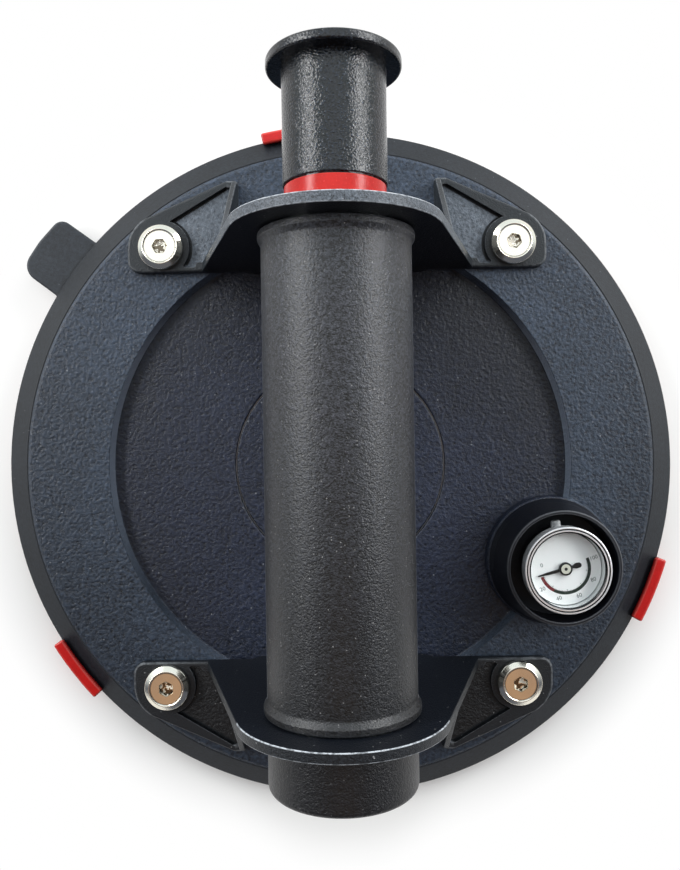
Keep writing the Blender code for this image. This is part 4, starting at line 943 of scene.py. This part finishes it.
def middle_cap():
    """Round cap in the middle of the recess, with a softened edge along its groove."""
    turned("middle_cap", LEATHER, "black_moulding", "centre_cap", UPRIGHT, [
        (0.0, SHELL_BOTTOM), (MIDDLE_RADIUS, SHELL_BOTTOM), (MIDDLE_RADIUS, RECESS_TOP, 0.7),
        (0.0, RECESS_TOP),
    ], sides=PAD_SIDES)


# Brackets and screws

def wall_form():
    """Bracket wall: an eye round the grip, straight flanks, a tongue down into the recess."""
    eye_radius, base = 26.2 * MM, FLANK_FOOT
    rise = AXIS_HEIGHT - FOOT_BOTTOM
    inwards = math.asin(eye_radius / math.hypot(base, rise))
    lean = math.degrees(math.pi / 2 - math.atan2(rise, base) - inwards)
    eye = arc((0.0, AXIS_HEIGHT), eye_radius, lean, 180 - lean, 72)
    tongue = RECESS_TOP + GAP
    half = 24.3 * MM
    right = [(half, tongue), (half + FOOT_BOTTOM - tongue, FOOT_BOTTOM), (base, FOOT_BOTTOM)]
    outline = right + eye + [(-x, z) for x, z in reversed(right)]
    wall = slab(outline, WALL_FACE, WALL_BACK, (0.30, 0.35))
    return moved(wall, Matrix(((1, 0, 0, 0), (0, 0, 1, 0), (0, 1, 0, 0), (0, 0, 0, 1)))), lean


def bracket_form():
    """One bracket, standing at +Y: wall, feet with sunk pockets, gussets."""
    wall, lean = wall_form()
    rib_top = 42.5 * MM
    rib_outer = FLANK_FOOT - (rib_top - FOOT_BOTTOM) * math.tan(math.radians(lean))
    rib_inner = rib_outer - 2.4 * MM
    apex = WALL_BACK + 24.4 * MM
    screw = (-SCREW_X, SCREW_Y)
    front = WALL_FACE + 0.04 * MM
    outer = -SCREW_X - FOOT_RADIUS
    corner = soft([(outer, SCREW_Y), (outer, front, 4.5), (-rib_inner, front)], 8)
    boss = arc(screw, FOOT_RADIUS, 118, 172, 12)
    tail = soft([(-rib_inner, front), (-rib_inner, apex, 1.0), (-rib_outer - MM, apex, 1.5), boss[0]])
    foot = slab(corner + tail[1:-1] + boss, FOOT_BOTTOM, FOOT_TOP, (0.3, 0.8))
    bow = arc(screw, 8.3 * MM, -40, 72, 20)
    back = WALL_BACK + GAP
    corner_end = (-rib_outer - 1.2 * MM, apex - 1.9 * MM)
    pocket = bow + soft([
        bow[-1], (*corner_end, 0.9), (-rib_outer + EDGE, apex - 2.4 * MM, 0.6),
        (-rib_outer + EDGE, back), (-41.6 * MM, back, 0.3), (-42.4 * MM, back - 1.5 * MM, 0.7),
        (bow[0][0] + 0.5 * MM, back - 1.5 * MM),
    ])[1:]
    channels = [strip(bow[1:], -0.7 * MM), strip([bow[-1], corner_end], -0.7 * MM)]
    lip = 0.2 * MM
    stations = [(0.0, POCKET_FLOOR), (0.0, FOOT_TOP - lip)]
    stations += [(-lip * 0.3, FOOT_TOP - lip * 0.3), (-lip, FOOT_TOP), (-lip, FOOT_TOP + MM)]
    foot = shaped(foot, ("DIFFERENCE", stack(pocket, stations)))
    for channel in channels:
        sunk = [(0.0, POCKET_FLOOR - 0.55 * MM), (0.0, POCKET_FLOOR + 0.7 * MM)]
        foot = shaped(foot, ("DIFFERENCE", stack(channel, sunk)))
    foot = shaped(foot, ("DIFFERENCE", disc(2.7 * MM, 0.0, FOOT_TOP + MM, Matrix.Translation((*screw, 0)))))
    inside = WALL_FACE + 1.3 * MM
    rib = slab(soft([
        (inside, FOOT_BOTTOM + 0.5 * MM), (apex - EDGE, FOOT_BOTTOM + 0.5 * MM),
        (apex - EDGE, FOOT_TOP + EDGE, 1.2), (WALL_BACK, rib_top), (inside, rib_top),
    ]), -rib_outer + 0.6 * MM, -rib_inner - 0.2 * MM, (0.35, 0.35))
    rib = moved(rib, Matrix(((0, 0, 1, 0), (1, 0, 0, 0), (0, 1, 0, 0), (0, 0, 0, 1))))
    grip_bore = disc(BARREL_OUTER + GAP, 0.0, WALL_BACK + MM, ALONG_HANDLE, ROUND_SIDES)
    bmesh.ops.recalc_face_normals(wall, faces=wall.faces)
    return shaped(wall, ("UNION", both_sides(foot)), ("UNION", both_sides(rib)), ("DIFFERENCE", grip_bore))


def brackets():
    form = bracket_form()
    opposite = moved(form.copy(), Matrix.Rotation(math.pi, 4, "Z"))
    piece("upper_bracket_moulding", form, COAT, "black_coat", "upper_bracket")
    piece("lower_bracket_moulding", opposite, COAT, "black_coat", "lower_bracket")


def screws():
    """Nickel-plated screws with a broad head, a sunk centre and a hexagon socket."""
    seat = FOOT_TOP + GAP
    top = SCREW_TOP
    tip = RING_TOP - 3.1 * MM
    shank, head, flat = 2.4 * MM, 6.6 * MM, 4.7 * MM
    form = lathe(soft([
        (0.0, tip), (shank, tip, 0.5), (shank, seat), (head, seat, 0.2),
        (head, seat + 1.5 * MM, 0.5), (flat + 0.35 * MM, top, 0.25), (flat, top - 0.35 * MM, 0.1),
        (0.0, top - 0.25 * MM),
    ]), SMALL_SIDES)
    across = 2.2 * MM
    hexagon = [(across * math.cos(FULL * side / 6), across * math.sin(FULL * side / 6)) for side in range(6)]
    stations = [(0.2 * MM, top - 1.6 * MM), (0.0, top - 1.4 * MM), (0.0, top - 0.5 * MM), (-0.35 * MM, top)]
    form = shaped(form, ("DIFFERENCE", stack(soft([(x, y, 0.3) for x, y in hexagon], 3), stations)))
    at_four_screws("bracket_screw_set", form, NICKEL, "bracket_screw", 5)
    inner, outer, high = 2.7 * MM, 3.5 * MM, RING_TOP - GAP
    profile = [(inner, high - 3.1 * MM)]
    for tooth in range(4):
        base = high - 3.1 * MM + 0.75 * MM * tooth
        profile += [(outer, base + 0.05 * MM), (outer, base + 0.5 * MM)]
        profile += [(outer - 0.2 * MM, base + 0.62 * MM)]
    profile += [(outer, high), (inner, high)]
    at_four_screws("insert_set", lathe(profile, 48), BRASS, "threaded_insert", 9)


# Handle

def handle():
    """Grip tube, pump barrel, guide bush and end cap."""
    end = WALL_FACE - GAP
    inner, flare = GRIP_RADIUS - 1.5 * MM, GRIP_RADIUS + 0.85 * MM
    half = soft([
        (GRIP_RADIUS, 0.0), (GRIP_RADIUS, end - 3.1 * MM, 1.6), (flare, end - 1.7 * MM, 0.7),
        (flare, end, 0.6), (inner, end, 0.2), (inner, 0.0),
    ], 6)[1:-1]
    profile = half + [(radius, -height) for radius, height in reversed(half)]
    form = lathe(profile, ROUND_SIDES, ALONG_HANDLE)
    piece("grip_sleeve", form, GRIP_COAT, "black_coat", "grip_tube")

    seat = WALL_BACK + GAP
    tail, head = span("pump_barrel", "y")
    flange = BARREL_OUTER + 1.2 * MM
    turned("barrel_cylinder", ALUMINIUM, "aluminium", "pump_barrel", ALONG_HANDLE, [
        (BARREL_INNER, tail), (BARREL_OUTER, tail, 0.2), (BARREL_OUTER, seat),
        (flange, seat, 0.2), (flange, head, 0.4), (BARREL_INNER, head, 0.2),
    ])

    slide = PLUNGER_RADIUS + GAP
    turned("plunger_guide", GLOSS, "black_gloss", "guide_bush", ALONG_HANDLE, [
        (slide, head - 14.4 * MM), (BARREL_INNER - GAP, head - 14.4 * MM, 0.3),
        (BARREL_INNER - GAP, head, 0.2), (slide, head, 0.7),
    ])

    bottom, top = span("end_cap", "y")
    shoulder = tail - GAP
    chamber = 12.0 * MM
    form = lathe(soft([
        (0.0, bottom + 0.4 * MM), (11.0 * MM, bottom + 0.4 * MM, 0.6), (12.2 * MM, bottom, 0.6),
        (GRIP_RADIUS, bottom, 1.5), (GRIP_RADIUS, top, 0.5), (BARREL_OUTER + GAP, top),
        (BARREL_OUTER + GAP, shoulder), (chamber, shoulder), (chamber, bottom + 3.5 * MM),
        (0.0, bottom + 3.5 * MM),
    ]), ROUND_SIDES, ALONG_HANDLE)
    drill = Matrix.Translation((0, LINE_Y, AXIS_HEIGHT)) @ Matrix.Rotation(math.pi, 4, "X")
    form = shaped(form, ("DIFFERENCE", disc(LINE_BORE, chamber / 2, GRIP_RADIUS + MM, drill)))
    piece("tail_cap", form, CAP_COAT, "black_coat", "end_cap")


def plunger():
    """Glossy sleeve with its thumb flange, and the red band that shows a lost vacuum."""
    start, end = span("plunger_sleeve", "y")
    flange = end - 2.6 * MM
    inner, outer = PLUNGER_RADIUS - 1.3 * MM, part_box("plunger_sleeve")[1].x
    turned("thumb_sleeve", GLOSS, "black_gloss", "plunger_sleeve", ALONG_HANDLE, [
        (inner, start), (PLUNGER_RADIUS, start, 0.35), (PLUNGER_RADIUS, flange),
        (outer, flange, 0.6), (outer, end, 0.8), (13.0 * MM, end, 1.0),
        (11.5 * MM, end - 0.5 * MM, 1.0), (0.0, end - 0.7 * MM), (0.0, flange - GAP),
        (inner, flange - GAP),
    ], body="plunger")
    low, high = span("indicator_band", "y")
    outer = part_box("indicator_band")[1].x
    turned("red_band", RED_BAND, "red_plastic", "indicator_band", ALONG_HANDLE, [
        (inner, low), (outer, low, 0.2), (outer, high, 0.2), (inner, high),
    ], body="plunger")


def springs():
    low, high = span("return_spring", "y")
    made = wound_spring("plunger_spring", 12.4 * MM, 0.8 * MM, low, high, 10, "return_spring")
    1 - PLUNGER_TRAVEL / (high - low)
    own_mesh(made)
    low, high = span("valve_spring", "y")
    made = wound_spring("inlet_spring", 3.0 * MM, 0.35 * MM, low, high, 4, "valve_spring", 8, 24)
    1 - VALVE_TRAVEL / (high - low)
    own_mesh(made)


def air_line():
    """Hose between two barbed nipples, under the end cap."""
    pad_low, pad_high = span("pad_nipple", "z")
    cap_low, cap_high = span("cap_nipple", "z")
    bottom, top = span("air_hose", "z")
    under = AXIS_HEIGHT - GRIP_RADIUS - GAP
    hole, stem, collar = 1.2 * MM, 2.6 * MM, 5.0 * MM
    for name, node, root, seat, stop, tip in (
        ("pad_hose_tail", "pad_nipple", pad_low, BOSS_TOP + GAP, bottom - GAP, pad_high),
        ("cap_hose_tail", "cap_nipple", cap_high, under, top + GAP, cap_low),
    ):
        turned(name, BRASS, "brass", node, AT_LINE, [
            (hole, root), (stem, root), (stem, seat), (collar, seat, 0.3), (collar, stop, 0.3),
            (stem, stop), (stem, tip, 0.4), (hole, tip),
        ], sides=SMALL_SIDES)
    inner, outer = LINE_BORE, 4.6 * MM
    turned("line_hose", HOSE_RUBBER, "black_rubber", "air_hose", AT_LINE, [
        (inner, bottom), (outer, bottom, 0.3), (outer, top, 0.3), (inner, top),
    ], sides=SMALL_SIDES)


# Gauge

def gauge_housing():
    """Rubber boot, case, ringed bezel, lens and the clear plug."""
    low, high = span("gauge_boot", "z")
    base, top, hole = 18.8 * MM, 16.3 * MM, 4.8 * MM
    turned("boot_collar", BOOT_RUBBER, "black_rubber", "gauge_boot", AT_GAUGE, [
        (hole, low), (base, low, 0.4), (base - 1.0 * MM, low + 3.0 * MM, 1.0),
        (top + 0.1 * MM, high - 1.0 * MM, 0.5), (top, high, 0.45), (top - 1.0 * MM, high, 0.35),
        (top - 1.2 * MM, high - 1.2 * MM, 0.3), (top - 0.8 * MM, low + 2.5 * MM, 0.3),
        (hole, low + 2.5 * MM),
    ])

    low, high = span("gauge_case", "z")
    outer, inner = CASE_RADIUS, 10.5 * MM
    form = lathe(soft([
        (MM, low), (outer, low, 0.6), (outer, high, 0.1), (inner, high, 0.1),
        (inner, low + 1.2 * MM, 0.2), (MM, low + 1.2 * MM),
    ]), ROUND_SIDES, AT_GAUGE)
    plug_height = sum(span("gauge_plug", "z")) / 2
    towards = Matrix.Rotation(math.radians(96), 4, "Z") @ Matrix.Rotation(math.radians(90), 4, "Y")
    plug = Matrix.Translation((GAUGE_X, GAUGE_Y, plug_height)) @ towards
    form = shaped(form, ("DIFFERENCE", disc(1.7 * MM, inner - MM, outer + MM, plug)))
    piece("gauge_cup", form, CUP, "black_coat", "gauge_case")
    turned("relief_plug", CLEAR_PLUG, "clear_plastic", "gauge_plug", plug, [
        (0.0, inner), (1.4 * MM, inner, 0.2), (1.4 * MM, outer + 2.0 * MM, 1.2),
        (0.0, outer + 2.0 * MM),
    ], sides=SMALL_SIDES)

    low, high = span("gauge_bezel", "z")
    inner, outer = 11.5 * MM, 12.1 * MM
    turned("gauge_ring", CHROME, "nickel", "gauge_bezel", AT_GAUGE, [
        (inner, low, 0.1), (outer, low, 0.2), (outer, high, 0.35), (11.55 * MM, high, 0.1),
        (11.45 * MM, high - 0.35 * MM, 0.05), (11.3 * MM, high - 0.1 * MM, 0.1),
        (10.75 * MM, high - 0.1 * MM, 0.2), (10.35 * MM, high - 0.45 * MM, 0.05),
        (10.35 * MM, high - 0.6 * MM, 0.05), (inner, high - 0.6 * MM),
    ], steps=4)

    low, high = span("gauge_lens", "z")
    form = disc(CASE_RADIUS, low, high, AT_GAUGE, ROUND_SIDES)
    piece("gauge_window", form, LENS, "clear_plastic", "gauge_lens")


def dial_ticks(low):
    """Fine marks round the scale, long at the numbered values."""
    turns = {"Step": math.radians(4), "Start": math.radians(-165)}
    rule = Rule("dial_tick_rule", {"Radius": 6.45 * MM, **turns})
    given = rule.given
    points = rule.out("GeometryNodePoints", {}, {"Count": 46})
    index = rule.out("GeometryNodeInputIndex")
    angle = given["Start"] + index * given["Step"]
    spot = rule.combine(
        rule.maths("COSINE", angle) * given["Radius"] + GAUGE_X,
        rule.maths("SINE", angle) * given["Radius"] + GAUGE_Y,
        low,
    )
    points = rule.out("GeometryNodeSetPosition", (), {"Geometry": points, "Position": spot})
    whole = rule.maths("MODULO", index, 10.0) < 0.5
    long = whole * 1.0 + 1.0
    sockets = {
        "Points": points,
        "Instance": given["Geometry"],
        "Rotation": rule.combine(0.0, 0.0, angle),
        "Scale": rule.combine(long, 1.0 + whole * 0.6, 1.0),
    }
    return rule, rule.out("GeometryNodeInstanceOnPoints", (), sockets)


def gauge_dial():
    """Printed dial with its ticks and plain numbers."""
    low, high = span("dial_plate", "z")
    form = disc(10.2 * MM, low, high, AT_GAUGE, ROUND_SIDES, 0.8 * MM)
    piece("gauge_dial", form, DIAL, "white_plastic", "dial_plate")

    ink = soft_rubber("dial_ink", rgb(104, 114, 112), 0.0, 0.5, (0.0, 0.0))
    thick = 0.03 * MM
    mark = stack([(-0.3 * MM, -0.05 * MM), (0.0, -0.05 * MM), (0.0, 0.05 * MM), (-0.3 * MM, 0.05 * MM)],
                 [(0.0, 0.0), (0.0, thick)])
    rule, marks = dial_ticks(high)
    rule.close(marks, ink)
    made = rule.apply(new_object("dial_ticks", mark))
    finished(made, ink)

    parts = []
    for number, angle in ((0, 172), (20, 222), (40, 258), (60, 297), (80, 338), (100, 380)):
        curve = bpy.data.curves.new("number", "FONT")
        curve.body = str(number)
        curve.size = 1.6 * MM
        curve.align_x = curve.align_y = "CENTER"
        curve.extrude = thick / 2
        curve.resolution_u = 3
        text = linked("number", curve)
        mesh = result_of(text)
        turn = math.radians(angle)
        reach = 8.55 * MM if number else 6.6 * MM
        spot = Vector((reach * math.cos(turn), reach * math.sin(turn), high + thick / 2))
        place = AT_GAUGE @ Matrix.Translation(spot) @ Matrix.Rotation(GAUGE_TURN, 4, "Z")
        parts.append(moved(form_of(mesh), place))
        bpy.data.objects.remove(text)
        bpy.data.curves.remove(curve)
        bpy.data.meshes.remove(mesh)
    piece("dial_numbers", together(*parts), ink, "black_gloss")


def pointer():
    """Needle with a round tail and a turned hub."""
    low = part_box("gauge_needle")[0].z
    half = 0.45 * MM
    tail = 3.9 * MM
    outline = [(0.0, half), (-2.2 * MM, half * 0.8), (-3.0 * MM, 0.75 * MM)]
    outline += arc((-tail, 0.0), 0.72 * MM, 90, 270, 12)
    outline += [(-3.0 * MM, -0.75 * MM), (-2.2 * MM, -half * 0.8), (0.0, -half)]
    outline += [(5.2 * MM, -half * 0.8), (8.0 * MM, -0.15 * MM)]
    outline += [(8.0 * MM, 0.15 * MM), (5.2 * MM, half * 0.8)]
    blade = slab(outline, low, low + 0.4 * MM, (0.0, 0.06))
    hub = lathe(soft([
        (0.0, low), (1.85 * MM, low), (1.85 * MM, low + 0.8 * MM, 0.2), (0.0, low + 0.8 * MM),
    ]), SMALL_SIDES)
    form = shaped(moved(blade, Matrix.Rotation(NEEDLE_ZERO, 4, "Z")), ("UNION", hub))
    piece("gauge_pointer", moved(form, AT_GAUGE), POINTER, "black_gloss", "gauge_needle", body="needle")


def inner_works():
    """Finishes of the CAD solids that stay as they are inside the handle, the pad and the gauge."""
    looks = (
        (PLATE_STEEL, ["backing_plate"]),
        (FELT, ["port_filter"]),
        (BRASS, ["valve_seat", "valve_cage", "gauge_stem", "gauge_movement", "pressure_tube"]),
        (HOSE_RUBBER, ["valve_poppet", "piston_seal", "gauge_gasket"]),
        (GLOSS, ["piston_head"]),
        (ALUMINIUM, ["plunger_tube"]),
    )
    for look, nodes in looks:
        for node in nodes:
            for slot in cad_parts[node].material_slots:
                slot.material = look


# Studio

def floor_finish():
    """Pale floor that shows as white where nothing shades it; near the pad the camera sees the lit floor
    with its shadow, reaching further out under the end cap and half hidden on the +Y side, and towards -Y a
    dimmer floor is mixed in as painted shadow.
    """
    look = Finish("floor_finish")
    shown, glossy, through = look.rays()
    seen = look.larger(look.larger(shown, glossy), through)
    pale = look.out("ShaderNodeBsdfDiffuse", (), {"Color": (1.0, 0.99, 0.96, 1.0)})
    dim = look.out("ShaderNodeBsdfDiffuse", (), {"Color": (0.50, 0.50, 0.50, 1.0)})
    white = look.out("ShaderNodeEmission", (), {"Color": (1.0, 1.0, 1.0, 1.0), "Strength": 1.0})
    x, y, _ = look.split(look.place)
    # Painted shadow: the shaded floor shows further out under the end cap.
    under_cap = look.ramp(abs(x), 6 * MM, 38 * MM, 9 * MM, 0.0) * (y < 0.0)
    share = look.ramp(look.distance(x, y) - under_cap, PAD_RADIUS + 2 * MM, PAD_RADIUS + 21 * MM)
    # Painted light: on the +Y side at least half of the floor shows as white, hiding part of its shadow.
    share = look.larger(share, look.ramp(y, -40 * MM, 50 * MM, 0.0, 0.5))
    # Painted shadow: towards -Y up to a fifth of the floor near the pad turns to the dim diffuse.
    near = look.blend(look.ramp(y, -60 * MM, 0.0, 0.2, 0.0), pale, dim)
    return look.end(look.blend(seen, dim, look.blend(share, near, white)))


def floor():
    form = bmesh.new()
    reach = 3.0
    corners = ((-reach, -reach), (reach, -reach), (reach, reach), (-reach, reach))
    form.faces.new([form.verts.new((x, y, -0.2 * MM)) for x, y in corners])
    made = new_object("studio_floor", form)
    made.data.materials.append(floor_finish())


def lamp(name, place, size, power, aim):
    """A soft box that faces a place along the handle."""
    data = bpy.data.lights.new(name, "AREA")
    data.shape = "RECTANGLE"
    data.size, data.size_y = size
    data.energy = power
    made = linked(name, data)
    made.location = place
    towards = Vector((0, aim, 0.04)) - Vector(place)
    made.rotation_euler = towards.to_track_quat("-Z", "Y").to_euler()


def surroundings():
    """Pale studio walls, with a darker patch over the camera's side of the ceiling."""
    world = bpy.data.worlds.new("studio")
    world.use_nodes = True
    bpy.context.scene.world = world
    world.node_tree.nodes.clear()
    look = Graph(world.node_tree)
    shown, glossy, through = look.rays()
    way = look.out("ShaderNodeTexCoord")
    nearness = look.vector("DOT_PRODUCT", way, Vector((0.0, -0.42, 0.91)).normalized(), output=1)
    wide, narrow, rim, spot = (math.cos(math.radians(angle)) for angle in (30, 12, 9, 3))
    shade = look.mix(look.ramp(nearness, rim, spot), (0.44, 0.28, 0.18, 1.0), (0.04, 0.03, 0.03, 1.0))
    side = look.ramp(look.split(way)[1], -0.30, 0.35)
    walls = look.mix(side, (0.10, 0.11, 0.14, 1.0), (0.84, 0.93, 1.0, 1.0))
    studio = look.mix(look.ramp(nearness, wide, narrow), walls, shade)
    seen = look.mix(shown, studio, (1.0, 1.0, 1.0, 1.0))
    strength = look.larger(shown, look.larger(glossy, through)) * 0.20 + 0.80
    made = look.out("ShaderNodeBackground", (), {"Color": seen, "Strength": strength})
    look.add("ShaderNodeOutputWorld", (), {"Surface": made})


def studio():
    floor()
    surroundings()
    lamp("left_softbox", (-0.75, 0.60, 0.55), (1.3, 0.14), 10.0, 0.60)
    lamp("right_softbox", (0.75, 0.60, 0.50), (1.3, 0.22), 10.0, 0.60)
    lamp("top_softbox", (0.0, 0.45, 0.95), (1.1, 0.50), 1.0, 0.0)


def camera():
    """Looks straight down from where the photograph was taken."""
    data = bpy.data.cameras.new("view")
    data.sensor_fit = "VERTICAL"
    data.sensor_height = 24.0
    data.lens = FOCAL_LENGTH
    data.clip_start = 0.01
    made = linked("view", data)
    made.location = VIEW_PLACE
    made.rotation_euler = VIEW_TURN
    bpy.context.scene.camera = made


def build():
    cover()
    pad()
    shell()
    middle_cap()
    brackets()
    screws()
    handle()
    plunger()
    springs()
    air_line()
    gauge_housing()
    gauge_dial()
    pointer()
    inner_works()
    studio()
    camera()
    bpy.context.scene.view_settings.view_transform = "Standard"


build()
